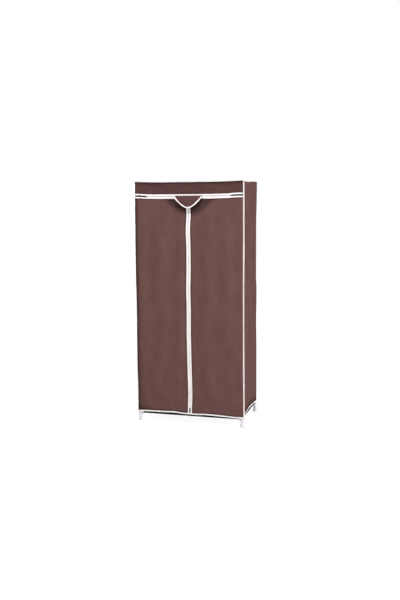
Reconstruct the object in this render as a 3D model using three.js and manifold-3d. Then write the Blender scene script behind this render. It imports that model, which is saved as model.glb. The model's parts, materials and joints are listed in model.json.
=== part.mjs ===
// Portable fabric wardrobe: a push-fit frame of steel tubes in moulded corner connectors,
// dressed in a soft cover whose two doors close with a T-shaped zip under a small flap.
// Millimetres, +Z up, front towards -Y, origin on the floor under the middle of the cover.

import * as THREE from 'three';
import { mergeVertices } from 'three/addons/utils/BufferGeometryUtils.js';
import Module from 'manifold-3d';

const wasm = await Module();
wasm.setup();

// Cover
const COVER_WIDTH = 722;
const COVER_DEPTH = 436;
const COVER_HEIGHT = 1600;
const HEM_HEIGHT = 64;
const CLOTH_THICKNESS = 1.2;
const TOP_SAG = 5.5;
const ROOF_SAG = 10;
const FIT_GAP = 0.3;
const CUT_OVERRUN = 5;

// Bound edges of the cover
const BINDING_WIDTH = 9;
const HEM_BINDING_WIDTH = 10;
const BINDING_LAYER = 0.8;
const HEADER_DROP = 82;
const SEAM_FIN_WIDTH = 10;
const SEAM_FIN_THICKNESS = 1.6;
const SEAM_FIN_ROOT = 0.5;
const SEAM_FIN_ANGLE = THREE.MathUtils.degToRad(20);
const TOP_FIN_ANGLE = THREE.MathUtils.degToRad(15);
const CORNER_HEM_GAP = 1.8;

// Folds of the hanging cloth
const DOOR_FOLD_REST = 3.5;
const DOOR_FOLD_SWING = 3.6;
const DOOR_FOLD_COUNT = 2.5;
const DOOR_FOLD_LEAN_SHARE = 0.35;
const SIDE_FOLD_REST = 3.6;
const SIDE_FOLD_SWING = 3.4;
const SIDE_FOLD_COUNT = 1.4;
const SIDE_FOLD_LEAN_SHARE = 0.9;
const BACK_FOLD_REST = 2.8;
const BACK_FOLD_SWING = 2.4;
const BACK_FOLD_COUNT = 2;
const HEADER_FOLD_REST = 0.8;
const HEADER_FOLD_SWING = 0.6;
const HEADER_FOLD_COUNT = 3;

// Zips
const ZIP_GAP = 10;
const TAPE_THICKNESS = 0.8;
const TAPE_WIDTH = 14;
const COIL_THICKNESS = 2.2;
const COIL_WIDTH = 2.45;
const COIL_SEPARATION = 1.5;
const TAPE_EDGE = 1.2;
const ZIP_SLIT = 82;
const BOTTOM_SLIT = 41;
const STOP_LENGTH = 4;
const STOP_THICKNESS = 3.6;
const STOP_WIDTH = 3;

// Zip sliders and pulls
const SLIDER_LENGTH = 14;
const SLIDER_WIDTH = 9.4;
const SLIDER_TAIL_WIDTH = 8.6;
const SLIDER_CORNER = 2;
const PLATE_THICKNESS = 1.5;
const FLANGE_INSET = 1.5;
const WEDGE_THICKNESS = 0.9;
const WEDGE_LENGTH = 4;
const WEDGE_INSET = 0.8;
const BAIL_LENGTH = 11;
const BAIL_HEIGHT = 3.2;
const BAIL_THICKNESS = 1;
const BAIL_WIDTH = 2;
const PULL_LENGTH = 27;
const PULL_WIDTH = 6;
const PULL_THICKNESS = 1.2;
const PULL_CORNER = 1.4;
const EYE_LENGTH = 6;
const EYE_WIDTH = 2.8;
const GRIP_HOLE_LENGTH = 8;
const GRIP_HOLE_WIDTH = 2;
const SLIDER_PARK = 16;
const CENTRE_SLIDER_PARK = 24;

// Flap over the meeting point of the zips
const FLAP_WIDTH = 190;
const FLAP_DROP = 80;
const FLAP_CORNER_DROP = 8;
const FLAP_THICKNESS = 0.8;
const FLAP_BULGE = 14;
const FLAP_BULGE_REACH = 12;
const FLAP_BINDING_WIDTH = 8;
const FLAP_BINDING_LAYER = 0.6;
const FLAP_BINDING_GAP = 0.5;
const FLAP_BINDING_START = 3;
const FLAP_CURVE_SHARE = 1.7;
const FLAP_ROW_SHARE = 1.6;

// Tube frame
const TUBE_DIAMETER = 16;
const TUBE_WALL = 1;
const SOCKET_DIAMETER = 22;
const SOCKET_GAP = 0.3;
const MID_RAIL_HEIGHT = 830;
const BOTTOM_RAIL_HEIGHT = 62;
const SOCKET_REACH = 40;
const SOCKET_SEAT = 13;
const COLLAR_WIDTH = 3;
const COLLAR_RISE = 1;

// Feet
const FOOT_ARM_REACH = 26;
const LEG_DIAMETER = 27;
const PAD_DIAMETER = 28.4;
const PAD_HEIGHT = 6;
const PAD_EDGE = 1.5;
const GUSSET_THICKNESS = 5;
const GUSSET_FOOT_HEIGHT = 30;
const GUSSET_END_INSET = 3;

// Hanging rail and its saddles
const HANGING_RAIL_DROP = 26;
const SADDLE_WIDTH = 24;
const SADDLE_REACH = 30;
const SADDLE_WEB = 10;

// Base cloth sleeved on the bottom rails
const SHELF_THICKNESS = 1.3;
const SHELF_END_GAP = 1.5;

// Smoothness of round and soft forms
const TUBE_SIDES = 12;
const CURVE_STEPS = 3;
const CORE_SIDES = 8;
const FIN_STEPS = 12;
const DOOR_GRID = { columns: 12, rows: 10 };
const SIDE_GRID = { columns: 8, rows: 10 };
const BACK_GRID = { columns: 10, rows: 6 };
const HEADER_GRID = { columns: 14, rows: 2 };
const ROOF_GRID = { columns: 10, rows: 6 };
const FLAP_GRID = { columns: 14, rows: 8 };

// Sizes worked out from those above
const halfWidth = COVER_WIDTH / 2;
const halfDepth = COVER_DEPTH / 2;
const tubeRadius = TUBE_DIAMETER / 2;
const socketRadius = SOCKET_DIAMETER / 2;
const collarRadius = socketRadius + COLLAR_RISE;
const boreRadius = tubeRadius + SOCKET_GAP;
const edgeGap = CLOTH_THICKNESS + FIT_GAP;
const bindingFront = -FIT_GAP - BINDING_LAYER;
const bindingBack = CLOTH_THICKNESS + FIT_GAP + BINDING_LAYER;
const collarFlat = collarRadius * Math.cos(Math.PI / TUBE_SIDES);
const postX = halfWidth - bindingBack - FIT_GAP - collarFlat;
const postY = halfDepth - bindingBack - FIT_GAP - collarFlat;
const topRailHeight = COVER_HEIGHT - edgeGap - TOP_SAG - collarRadius;
const hangingRailHeight = topRailHeight - HANGING_RAIL_DROP;

const headerBindingLow = COVER_HEIGHT - HEADER_DROP - HEM_BINDING_WIDTH;
const zipHeight = headerBindingLow - ZIP_GAP / 2;
const doorTop = headerBindingLow - ZIP_GAP;
const doorHingeGap = bindingBack + FIT_GAP;
const bindingFold = BINDING_LAYER + FIT_GAP;

const tapeFront = bindingBack + FIT_GAP;
const tapeMiddle = tapeFront + TAPE_THICKNESS / 2;
const coilFront = tapeMiddle - COIL_THICKNESS / 2;
const coilBack = tapeMiddle + COIL_THICKNESS / 2;
const coilInner = COIL_SEPARATION / 2;
const coilOuter = coilInner + COIL_WIDTH;
const pullReach = PULL_LENGTH - PULL_THICKNESS / 2 + 2 * FIT_GAP;
const parkedEnd = SLIDER_PARK + pullReach;
const headerZipEnd = halfWidth - ZIP_SLIT;
const centreZipEnd = HEM_HEIGHT + BOTTOM_SLIT;
const centreZipTop = doorTop - TAPE_EDGE;
const centreSliderHeight = doorTop - CENTRE_SLIDER_PARK;
const parkedBelow = centreSliderHeight - pullReach;
const plateFront = coilFront - FIT_GAP - PLATE_THICKNESS;
const pullLevel = plateFront - (BAIL_HEIGHT - BAIL_THICKNESS) / 2;

const X = new THREE.Vector3(1, 0, 0);
const Y = new THREE.Vector3(0, 1, 0);
const Z = new THREE.Vector3(0, 0, 1);

const finish = (color, roughness, metalness) =>
  new THREE.MeshStandardMaterial({ color, roughness, metalness });
const blackEnamel = () => finish(0x2b2b2d, 0.42, 0.55);
const whiteEnamel = () => finish(0xefe9e6, 0.35, 0.3);
const whitePlastic = () => finish(0xd9d9e4, 0.45, 0);
const brownCloth = () => finish(0x6c4d49, 0.9, 0);
const blackCloth = () => finish(0x2d2a2b, 0.9, 0);
const whiteTape = () => finish(0xf2e6e2, 0.85, 0);

// Joining and cutting

function solidOf(geometry) {
  const bare = geometry.clone();
  bare.deleteAttribute('normal');
  bare.deleteAttribute('uv');
  const merged = mergeVertices(bare);
  const vertProperties = new Float32Array(merged.attributes.position.array);
  const triVerts = new Uint32Array(merged.index.array);
  return new wasm.Manifold(new wasm.Mesh({ numProp: 3, vertProperties, triVerts }));
}

function geometryOf(solid) {
  const mesh = solid.getMesh();
  const geometry = new THREE.BufferGeometry();
  geometry.setAttribute('position', new THREE.BufferAttribute(mesh.vertProperties, mesh.numProp));
  geometry.setIndex(new THREE.BufferAttribute(mesh.triVerts, 1));
  geometry.computeVertexNormals();
  return geometry;
}

function joined(geometries) {
  return geometries.map(solidOf).reduce((sum, solid) => sum.add(solid));
}

function joinedAndCut(geometries, cutters) {
  const body = joined(geometries);
  return geometryOf(cutters.length ? body.subtract(joined(cutters)) : body);
}

function block(low, high) {
  const [x0, y0, z0] = low;
  const [x1, y1, z1] = high;
  const geometry = new THREE.BoxGeometry(Math.abs(x1 - x0), Math.abs(y1 - y0), Math.abs(z1 - z0));
  return geometry.translate((x0 + x1) / 2, (y0 + y1) / 2, (z0 + z1) / 2);
}

// Turns a round form drawn about Y to a unit direction, with its flats facing the other two axes.
function turnedTo(direction, geometry) {
  geometry.rotateY(Math.PI / TUBE_SIDES);
  return geometry.applyQuaternion(new THREE.Quaternion().setFromUnitVectors(Y, direction));
}

// A round rod between two distances along a unit direction.
function rod(direction, start, end, radius) {
  const geometry = new THREE.CylinderGeometry(radius, radius, end - start, TUBE_SIDES);
  return turnedTo(direction, geometry.translate(0, (start + end) / 2, 0));
}

// Sweeps one closed outline through a row of stations; each station places an outline point in space.
function loftSolid(outline, stations) {
  const ringSize = outline.length;
  const positions = [];
  const indices = [];
  for (const station of stations) {
    for (const point of outline) {
      positions.push(...station(point).toArray());
    }
  }
  for (let ring = 0; ring + 1 < stations.length; ring += 1) {
    for (let corner = 0; corner < ringSize; corner += 1) {
      const next = (corner + 1) % ringSize;
      const a = ring * ringSize + corner;
      const b = ring * ringSize + next;
      indices.push(a, b, b + ringSize);
      indices.push(a, b + ringSize, a + ringSize);
    }
  }
  const last = (stations.length - 1) * ringSize;
  for (const [a, b, c] of THREE.ShapeUtils.triangulateShape(outline, [])) {
    indices.push(c, b, a);
    indices.push(last + a, last + b, last + c);
  }
  const geometry = new THREE.BufferGeometry();
  geometry.setAttribute('position', new THREE.Float32BufferAttribute(positions, 3));
  geometry.setIndex(indices);
  geometry.computeVertexNormals();
  return geometry;
}

// Cloth

const evenShares = (count) => Array.from({ length: count + 1 }, (_, step) => step / count);

// Shares along an edge with a flat border at each end.
function borderedShares(count, size, lowBorder, highBorder) {
  const low = lowBorder / size;
  const high = 1 - highBorder / size;
  return [0, ...evenShares(count).map((share) => low + (high - low) * share), 1];
}

// Zero at both ends and full over most of the middle.
const swell = (share) => 1 - (2 * share - 1) ** 4;

// A closed sheet between a face and a back, both given as points over two shares.
function sheetSolid(columnShares, rowShares, facePoint, backPoint) {
  const columns = columnShares.length;
  const rows = rowShares.length;
  const positions = [];
  const indices = [];
  for (const surface of [facePoint, backPoint]) {
    for (const row of rowShares) {
      for (const column of columnShares) {
        positions.push(...surface(column, row).toArray());
      }
    }
  }
  const back = columns * rows;
  for (let row = 0; row + 1 < rows; row += 1) {
    for (let column = 0; column + 1 < columns; column += 1) {
      const corner = row * columns + column;
      const above = corner + columns;
      indices.push(corner, corner + 1, above + 1, corner, above + 1, above);
      indices.push(back + corner, back + above + 1, back + corner + 1);
      indices.push(back + corner, back + above, back + above + 1);
    }
  }
  const rim = [];
  for (let column = 0; column < columns - 1; column += 1) rim.push(column);
  for (let row = 0; row < rows - 1; row += 1) rim.push(row * columns + columns - 1);
  for (let column = columns - 1; column > 0; column -= 1) rim.push((rows - 1) * columns + column);
  for (let row = rows - 1; row > 0; row -= 1) rim.push(row * columns);
  rim.forEach((corner, place) => {
    const next = rim[(place + 1) % rim.length];
    indices.push(next, corner, back + corner, next, back + corner, back + next);
  });
  const geometry = new THREE.BufferGeometry();
  geometry.setAttribute('position', new THREE.Float32BufferAttribute(positions, 3));
  geometry.setIndex(indices);
  geometry.computeVertexNormals();
  return geometry;
}

// An upright panel of cloth: flat borders round a middle that swells outwards in soft folds.
function clothPanel({ origin, across, up, width, height, borders, grid, folds, topEdge }) {
  const outward = new THREE.Vector3().crossVectors(across, up);
  const columnShares = borderedShares(grid.columns, width, borders.start, borders.end);
  const rowShares = borderedShares(grid.rows, height, borders.low, borders.high);
  const within = (share, size, low, high) => {
    const inner = (share * size - low) / (size - low - high);
    return Math.min(Math.max(inner, 0), 1);
  };
  const surface = (depth) => (column, row) => {
    const a = within(column, width, borders.start, borders.end);
    const b = within(row, height, borders.low, borders.high);
    const swelling = swell(a) * swell(b) * folds(a, b);
    const climb = height * row - topEdge(column) * row;
    return origin.clone()
      .addScaledVector(across, width * column)
      .addScaledVector(up, climb)
      .addScaledVector(outward, swelling - depth);
  };
  return sheetSolid(columnShares, rowShares, surface(0), surface(CLOTH_THICKNESS));
}

const level = () => 0;
const topEdgeSag = (share) => TOP_SAG * swell(share);

const wave = (rest, swing, count, leanShare) => (a, b) =>
  rest + swing * Math.cos(2 * Math.PI * (count * a + leanShare * b));

function doorCloth(side) {
  const inner = ZIP_GAP / 2 + bindingFold;
  const low = HEM_HEIGHT + bindingFold;
  const width = halfWidth - doorHingeGap - inner;
  const start = side < 0 ? -halfWidth + doorHingeGap : inner;
  const hinge = edgeGap;
  const free = BINDING_WIDTH + FIT_GAP;
  return clothPanel({
    origin: new THREE.Vector3(start, 0, low),
    across: X,
    up: Z,
    width,
    height: doorTop - bindingFold - low,
    borders: {
      start: side < 0 ? hinge : free,
      end: side < 0 ? free : hinge,
      low: HEM_BINDING_WIDTH + FIT_GAP,
      high: free,
    },
    grid: DOOR_GRID,
    folds: wave(DOOR_FOLD_REST, DOOR_FOLD_SWING, DOOR_FOLD_COUNT, side * DOOR_FOLD_LEAN_SHARE),
    topEdge: level,
  });
}

function sideCloth(side) {
  const low = HEM_HEIGHT + bindingFold;
  return clothPanel({
    origin: new THREE.Vector3(side * halfWidth, -side * halfDepth, low),
    across: Y.clone().multiplyScalar(side),
    up: Z,
    width: COVER_DEPTH,
    height: COVER_HEIGHT - edgeGap - low,
    borders: { start: edgeGap, end: edgeGap, low: HEM_BINDING_WIDTH + FIT_GAP, high: edgeGap },
    grid: SIDE_GRID,
    folds: wave(SIDE_FOLD_REST, SIDE_FOLD_SWING, SIDE_FOLD_COUNT, SIDE_FOLD_LEAN_SHARE),
    topEdge: topEdgeSag,
  });
}

function backCloth() {
  const low = HEM_HEIGHT + bindingFold;
  return clothPanel({
    origin: new THREE.Vector3(halfWidth - edgeGap, halfDepth, low),
    across: X.clone().negate(),
    up: Z,
    width: COVER_WIDTH - 2 * edgeGap,
    height: COVER_HEIGHT - edgeGap - low,
    borders: { start: edgeGap, end: edgeGap, low: HEM_BINDING_WIDTH + FIT_GAP, high: edgeGap },
    grid: BACK_GRID,
    folds: wave(BACK_FOLD_REST, BACK_FOLD_SWING, BACK_FOLD_COUNT, 0),
    topEdge: topEdgeSag,
  });
}

function headerCloth() {
  const low = headerBindingLow + bindingFold;
  return clothPanel({
    origin: new THREE.Vector3(-halfWidth + edgeGap, 0, low),
    across: X,
    up: Z,
    width: COVER_WIDTH - 2 * edgeGap,
    height: COVER_HEIGHT - edgeGap - low,
    borders: { start: edgeGap, end: edgeGap, low: HEM_BINDING_WIDTH + FIT_GAP, high: edgeGap },
    grid: HEADER_GRID,
    folds: wave(HEADER_FOLD_REST, HEADER_FOLD_SWING, HEADER_FOLD_COUNT, 0),
    topEdge: topEdgeSag,
  });
}

function roofCloth() {
  const surface = (depth) => (column, row) => {
    const edge = swell(column) + swell(row) - swell(column) * swell(row);
    const hollow = (Math.sin(Math.PI * column) * Math.sin(Math.PI * row)) ** 2;
    const drop = TOP_SAG * edge + ROOF_SAG * hollow;
    const x = COVER_WIDTH * column - halfWidth;
    const y = COVER_DEPTH * row - halfDepth;
    return new THREE.Vector3(x, y, COVER_HEIGHT - drop - depth);
  };
  const columnShares = borderedShares(ROOF_GRID.columns, COVER_WIDTH, edgeGap, edgeGap);
  const rowShares = borderedShares(ROOF_GRID.rows, COVER_DEPTH, edgeGap, edgeGap);
  return sheetSolid(columnShares, rowShares, surface(0), surface(CLOTH_THICKNESS));
}

// Bound edges

// The folded tape round three sides of a door: two layers with the cloth between them.
function doorBinding(side) {
  const inner = side * (ZIP_GAP / 2);
  const outer = side * (halfWidth - doorHingeGap);
  const beyond = outer + side * CUT_OVERRUN;
  const plate = block([inner, bindingFront, HEM_HEIGHT], [outer, bindingBack, doorTop]);
  const middle = block(
    [inner + side * BINDING_WIDTH, bindingFront - CUT_OVERRUN, HEM_HEIGHT + HEM_BINDING_WIDTH],
    [beyond, bindingBack + CUT_OVERRUN, doorTop - BINDING_WIDTH],
  );
  const slot = block(
    [inner + side * BINDING_LAYER, -FIT_GAP, HEM_HEIGHT + BINDING_LAYER],
    [beyond, edgeGap, doorTop - BINDING_LAYER],
  );
  return joinedAndCut([plate], [middle, slot]);
}

function headerBinding() {
  const end = halfWidth - edgeGap;
  const high = headerBindingLow + HEM_BINDING_WIDTH;
  const band = block([-end, bindingFront, headerBindingLow], [end, bindingBack, high]);
  const slot = block(
    [-end - CUT_OVERRUN, -FIT_GAP, headerBindingLow + BINDING_LAYER],
    [end + CUT_OVERRUN, edgeGap, high + CUT_OVERRUN],
  );
  return joinedAndCut([band], [slot]);
}

// The hem tape along the left side, the back and the right side, open at the front.
function hemBinding() {
  const high = HEM_HEIGHT + HEM_BINDING_WIDTH;
  const start = -halfDepth + CORNER_HEM_GAP;
  const before = start - CUT_OVERRUN;
  const nest = (offset, front, low, top) => block(
    [-halfWidth + offset, front, low],
    [halfWidth - offset, halfDepth - offset, top],
  );
  const outerSolid = solidOf(nest(bindingFront, start, HEM_HEIGHT, high));
  const innerSolid = solidOf(nest(bindingBack, before, HEM_HEIGHT - CUT_OVERRUN, high + CUT_OVERRUN));
  const slotLow = HEM_HEIGHT + BINDING_LAYER;
  const slotOuter = solidOf(nest(-FIT_GAP, before, slotLow, high + CUT_OVERRUN));
  const slotInner = solidOf(nest(edgeGap, before, slotLow, high + CUT_OVERRUN));
  return geometryOf(outerSolid.subtract(innerSolid).subtract(slotOuter.subtract(slotInner)));
}

const finOutline = () => [
  new THREE.Vector2(0, -SEAM_FIN_THICKNESS / 2),
  new THREE.Vector2(SEAM_FIN_WIDTH - SEAM_FIN_THICKNESS / 2, -SEAM_FIN_THICKNESS / 2),
  new THREE.Vector2(SEAM_FIN_WIDTH, 0),
  new THREE.Vector2(SEAM_FIN_WIDTH - SEAM_FIN_THICKNESS / 2, SEAM_FIN_THICKNESS / 2),
  new THREE.Vector2(0, SEAM_FIN_THICKNESS / 2),
];

// The bound seam that stands off a front corner like a thin fin.
function cornerFin(side) {
  const outward = new THREE.Vector3(side * Math.cos(SEAM_FIN_ANGLE), -Math.sin(SEAM_FIN_ANGLE), 0);
  const sideways = new THREE.Vector3().crossVectors(Z, outward);
  const station = (height) => (point) => new THREE.Vector3(side * halfWidth, 0, height)
    .addScaledVector(outward, SEAM_FIN_ROOT + point.x)
    .addScaledVector(sideways, point.y);
  return loftSolid(finOutline(), [HEM_HEIGHT, COVER_HEIGHT - edgeGap].map(station));
}

// The bound seam along the top front edge, which sags with the cloth.
function topFin() {
  const outward = new THREE.Vector3(0, -Math.cos(TOP_FIN_ANGLE), Math.sin(TOP_FIN_ANGLE));
  const downward = new THREE.Vector3().crossVectors(X, outward);
  const station = (share) => (point) =>
    new THREE.Vector3(COVER_WIDTH * share - halfWidth, 0, COVER_HEIGHT - topEdgeSag(share))
      .addScaledVector(outward, SEAM_FIN_ROOT + point.x)
      .addScaledVector(downward, point.y);
  return loftSolid(finOutline(), evenShares(FIN_STEPS).map(station));
}

// Zips

const tapeBlock = (x0, x1, z0, z1) => block([x0, tapeFront, z0], [x1, tapeFront + TAPE_THICKNESS, z1]);
const coilBlock = (x0, x1, z0, z1) => block([x0, coilFront, z0], [x1, coilBack, z1]);

function stopBlock(x0, x1, z0, z1) {
  return block([x0, tapeMiddle - STOP_THICKNESS / 2, z0], [x1, tapeMiddle + STOP_THICKNESS / 2, z1]);
}

// The upper half of the cross zip, sewn behind the header's bound edge.
function headerTape() {
  const stopEnd = headerZipEnd + STOP_LENGTH;
  const coilLow = zipHeight + coilInner;
  const pieces = [
    tapeBlock(-stopEnd, stopEnd, zipHeight + TAPE_EDGE, zipHeight + TAPE_EDGE + TAPE_WIDTH),
    coilBlock(-headerZipEnd, headerZipEnd, coilLow, zipHeight + coilOuter),
  ];
  for (const side of [-1, 1]) {
    pieces.push(stopBlock(side * headerZipEnd, side * stopEnd, coilLow, coilLow + STOP_WIDTH));
  }
  return joinedAndCut(pieces, []);
}

// The lower half of the cross zip and one half of the centre zip, in one tape that turns the corner.
function doorTape(side, centreTop) {
  const edge = side * TAPE_EDGE;
  const inner = side * (ZIP_GAP / 2 + FIT_GAP);
  const back = side * (TAPE_EDGE + TAPE_WIDTH);
  const crossEnd = side * headerZipEnd;
  const crossStop = side * (headerZipEnd + STOP_LENGTH);
  const parked = side * parkedEnd;
  const behind = doorTop - FIT_GAP;
  const crossLow = zipHeight - TAPE_EDGE - TAPE_WIDTH;
  const stopLow = centreZipEnd - STOP_LENGTH;
  const coilHigh = zipHeight - coilInner;
  return joinedAndCut([
    tapeBlock(inner, crossStop, crossLow, behind),
    tapeBlock(parked, crossStop, crossLow, zipHeight - TAPE_EDGE),
    tapeBlock(inner, back, stopLow, behind),
    tapeBlock(edge, back, stopLow, centreTop),
    coilBlock(parked, crossEnd, zipHeight - coilOuter, coilHigh),
    coilBlock(side * coilInner, side * coilOuter, centreZipEnd, centreTop),
    stopBlock(crossEnd, crossStop, coilHigh - STOP_WIDTH, coilHigh),
    stopBlock(side * coilInner, side * (coilInner + STOP_WIDTH), stopLow, centreZipEnd),
  ], []);
}

// A plate laid in the XZ plane from an outline, with its faces at the two levels.
function flatPlate(shape, front, thickness) {
  const geometry = new THREE.ExtrudeGeometry(shape, {
    depth: thickness,
    bevelEnabled: false,
    curveSegments: CURVE_STEPS,
  });
  geometry.rotateX(Math.PI / 2);
  return geometry.translate(0, front + thickness, 0);
}

// Outline of a slider plate: square shoulders behind, rounded tail towards the closed zip.
function sliderOutline() {
  const shoulder = -SLIDER_LENGTH / 2;
  const tail = SLIDER_LENGTH / 2;
  const wide = SLIDER_WIDTH / 2;
  const narrow = SLIDER_TAIL_WIDTH / 2;
  const shape = new THREE.Shape();
  shape.moveTo(shoulder + SLIDER_CORNER, -wide);
  shape.lineTo(tail - SLIDER_CORNER, -narrow);
  shape.quadraticCurveTo(tail, -narrow, tail, -narrow + SLIDER_CORNER);
  shape.lineTo(tail, narrow - SLIDER_CORNER);
  shape.quadraticCurveTo(tail, narrow, tail - SLIDER_CORNER, narrow);
  shape.lineTo(shoulder + SLIDER_CORNER, wide);
  shape.quadraticCurveTo(shoulder, wide, shoulder, wide - SLIDER_CORNER);
  shape.lineTo(shoulder, -wide + SLIDER_CORNER);
  shape.quadraticCurveTo(shoulder, -wide, shoulder + SLIDER_CORNER, -wide);
  return shape;
}

// The arch that holds the pull, drawn in length and height and set across the front plate.
function bail() {
  const half = BAIL_LENGTH / 2;
  const innerHalf = half - BAIL_THICKNESS;
  const innerHeight = BAIL_HEIGHT - BAIL_THICKNESS;
  const sunk = -PLATE_THICKNESS / 2;
  const shape = new THREE.Shape();
  shape.moveTo(-half, sunk);
  shape.lineTo(-half, innerHeight);
  shape.quadraticCurveTo(-half, BAIL_HEIGHT, -innerHalf, BAIL_HEIGHT);
  shape.lineTo(innerHalf, BAIL_HEIGHT);
  shape.quadraticCurveTo(half, BAIL_HEIGHT, half, innerHeight);
  shape.lineTo(half, sunk);
  shape.lineTo(innerHalf, sunk);
  shape.lineTo(innerHalf, innerHeight);
  shape.lineTo(-innerHalf, innerHeight);
  shape.lineTo(-innerHalf, sunk);
  shape.closePath();
  const geometry = new THREE.ExtrudeGeometry(shape, {
    depth: BAIL_WIDTH,
    bevelEnabled: false,
    curveSegments: CURVE_STEPS,
  });
  geometry.translate(0, 0, -BAIL_WIDTH / 2);
  geometry.rotateX(Math.PI);
  return geometry.translate(0, plateFront, 0);
}

// A zip slider: two plates held apart by the wedge, slotted flanges that grip the tapes, and a bail.
function sliderBody() {
  const backLevel = coilBack + FIT_GAP;
  const frontFace = plateFront + PLATE_THICKNESS;
  const slotFront = tapeFront - FIT_GAP;
  const slotBack = tapeFront + TAPE_THICKNESS + FIT_GAP;
  const wedgeStart = -SLIDER_LENGTH / 2 + WEDGE_INSET;
  const overlap = PLATE_THICKNESS / 2;
  const flangeEnd = SLIDER_LENGTH / 2 - FLANGE_INSET;
  const flangeOuter = SLIDER_TAIL_WIDTH / 2;
  const flangeInner = coilOuter + FIT_GAP / 2;
  const pieces = [
    flatPlate(sliderOutline(), plateFront, PLATE_THICKNESS),
    flatPlate(sliderOutline(), backLevel, PLATE_THICKNESS),
    block(
      [wedgeStart, frontFace - overlap, -WEDGE_THICKNESS / 2],
      [wedgeStart + WEDGE_LENGTH, backLevel + overlap, WEDGE_THICKNESS / 2],
    ),
    bail(),
  ];
  for (const side of [-1, 1]) {
    for (const [near, far] of [[frontFace - overlap, slotFront], [slotBack, backLevel + overlap]]) {
      pieces.push(block([-flangeEnd, near, side * flangeInner], [flangeEnd, far, side * flangeOuter]));
    }
  }
  return joinedAndCut(pieces, []);
}

function roundedSlot(x0, x1, halfHeight, corner) {
  const path = new THREE.Path();
  path.moveTo(x0 + corner, -halfHeight);
  path.lineTo(x1 - corner, -halfHeight);
  path.quadraticCurveTo(x1, -halfHeight, x1, -halfHeight + corner);
  path.lineTo(x1, halfHeight - corner);
  path.quadraticCurveTo(x1, halfHeight, x1 - corner, halfHeight);
  path.lineTo(x0 + corner, halfHeight);
  path.quadraticCurveTo(x0, halfHeight, x0, halfHeight - corner);
  path.lineTo(x0, -halfHeight + corner);
  path.quadraticCurveTo(x0, -halfHeight, x0 + corner, -halfHeight);
  return path;
}

// The tab that hangs in the bail: its end bar is the pivot, with the eye just beyond it.
function pullTab() {
  const bar = PULL_THICKNESS / 2;
  const gripEnd = PULL_LENGTH - PULL_CORNER * 2;
  const outline = roundedSlot(-bar, PULL_LENGTH - bar, PULL_WIDTH / 2, PULL_CORNER);
  const shape = new THREE.Shape(outline.getPoints(CURVE_STEPS));
  const eye = roundedSlot(bar, bar + EYE_LENGTH, EYE_WIDTH / 2, bar);
  const grip = roundedSlot(gripEnd - GRIP_HOLE_LENGTH, gripEnd, GRIP_HOLE_WIDTH / 2, bar);
  shape.holes.push(eye, grip);
  return flatPlate(shape, -PULL_THICKNESS / 2, PULL_THICKNESS);
}

// Flap

const flapEdgeDrop = (across) =>
  FLAP_CORNER_DROP + (FLAP_DROP - FLAP_CORNER_DROP) * (1 - Math.abs(across) ** FLAP_CURVE_SHARE);

// Columns crowd towards the corners, where the edge climbs fastest.
const flapAcross = (share) => -Math.cos(Math.PI * share);

const flapStandOff = (drop) => FLAP_BULGE * (1 - Math.exp(-drop / FLAP_BULGE_REACH));

// A point of the flap's face, by the place across it and the drop below its sewn edge.
function flapPoint(across, drop, depth) {
  const slope = (FLAP_BULGE / FLAP_BULGE_REACH) * Math.exp(-drop / FLAP_BULGE_REACH);
  const inward = new THREE.Vector3(0, 1, -slope).normalize();
  return new THREE.Vector3(across * (FLAP_WIDTH / 2), -flapStandOff(drop), -drop)
    .addScaledVector(inward, depth);
}

// The unit direction from the curved edge into the flap, as a step across and a step of drop.
function flapInward(across) {
  const half = FLAP_WIDTH / 2;
  const step = FLAP_THICKNESS / half;
  const rise = (flapEdgeDrop(across + step) - flapEdgeDrop(across - step)) / (2 * step * half);
  return new THREE.Vector2(rise, -1).normalize();
}

function flapCloth() {
  const fold = FLAP_BINDING_LAYER + FLAP_BINDING_GAP;
  const rowShares = evenShares(FLAP_GRID.rows).map((share) => 1 - (1 - share) ** FLAP_ROW_SHARE);
  const surface = (depth) => (column, row) => {
    const across = flapAcross(column);
    const lowest = flapEdgeDrop(across) + fold / flapInward(across).y;
    return flapPoint(across, FIT_GAP + (lowest - FIT_GAP) * (1 - row), depth);
  };
  return sheetSolid(evenShares(FLAP_GRID.columns), rowShares, surface(0), surface(FLAP_THICKNESS));
}

// The flap's binding: a folded tape that follows the curved edge from corner to corner.
function flapBinding() {
  const front = -FLAP_BINDING_GAP - FLAP_BINDING_LAYER;
  const back = FLAP_THICKNESS + FLAP_BINDING_GAP + FLAP_BINDING_LAYER;
  const outline = [
    new THREE.Vector2(0, front),
    new THREE.Vector2(FLAP_BINDING_WIDTH / 2, front),
    new THREE.Vector2(FLAP_BINDING_WIDTH, front),
    new THREE.Vector2(FLAP_BINDING_WIDTH, -FLAP_BINDING_GAP),
    new THREE.Vector2(FLAP_BINDING_WIDTH / 2, -FLAP_BINDING_GAP),
    new THREE.Vector2(FLAP_BINDING_LAYER, -FLAP_BINDING_GAP),
    new THREE.Vector2(FLAP_BINDING_LAYER, FLAP_THICKNESS + FLAP_BINDING_GAP),
    new THREE.Vector2(FLAP_BINDING_WIDTH / 2, FLAP_THICKNESS + FLAP_BINDING_GAP),
    new THREE.Vector2(FLAP_BINDING_WIDTH, FLAP_THICKNESS + FLAP_BINDING_GAP),
    new THREE.Vector2(FLAP_BINDING_WIDTH, back),
    new THREE.Vector2(FLAP_BINDING_WIDTH / 2, back),
    new THREE.Vector2(0, back),
  ];
  const station = (share) => {
    const across = flapAcross(share);
    const drop = flapEdgeDrop(across);
    const inward = flapInward(across);
    return (point) => {
      const deep = Math.max(drop + inward.y * point.x, FLAP_BINDING_START);
      return flapPoint(across + inward.x * point.x / (FLAP_WIDTH / 2), deep, point.y);
    };
  };
  return loftSolid(outline, evenShares(FLAP_GRID.columns).reverse().map(station));
}

// Tube frame

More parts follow.
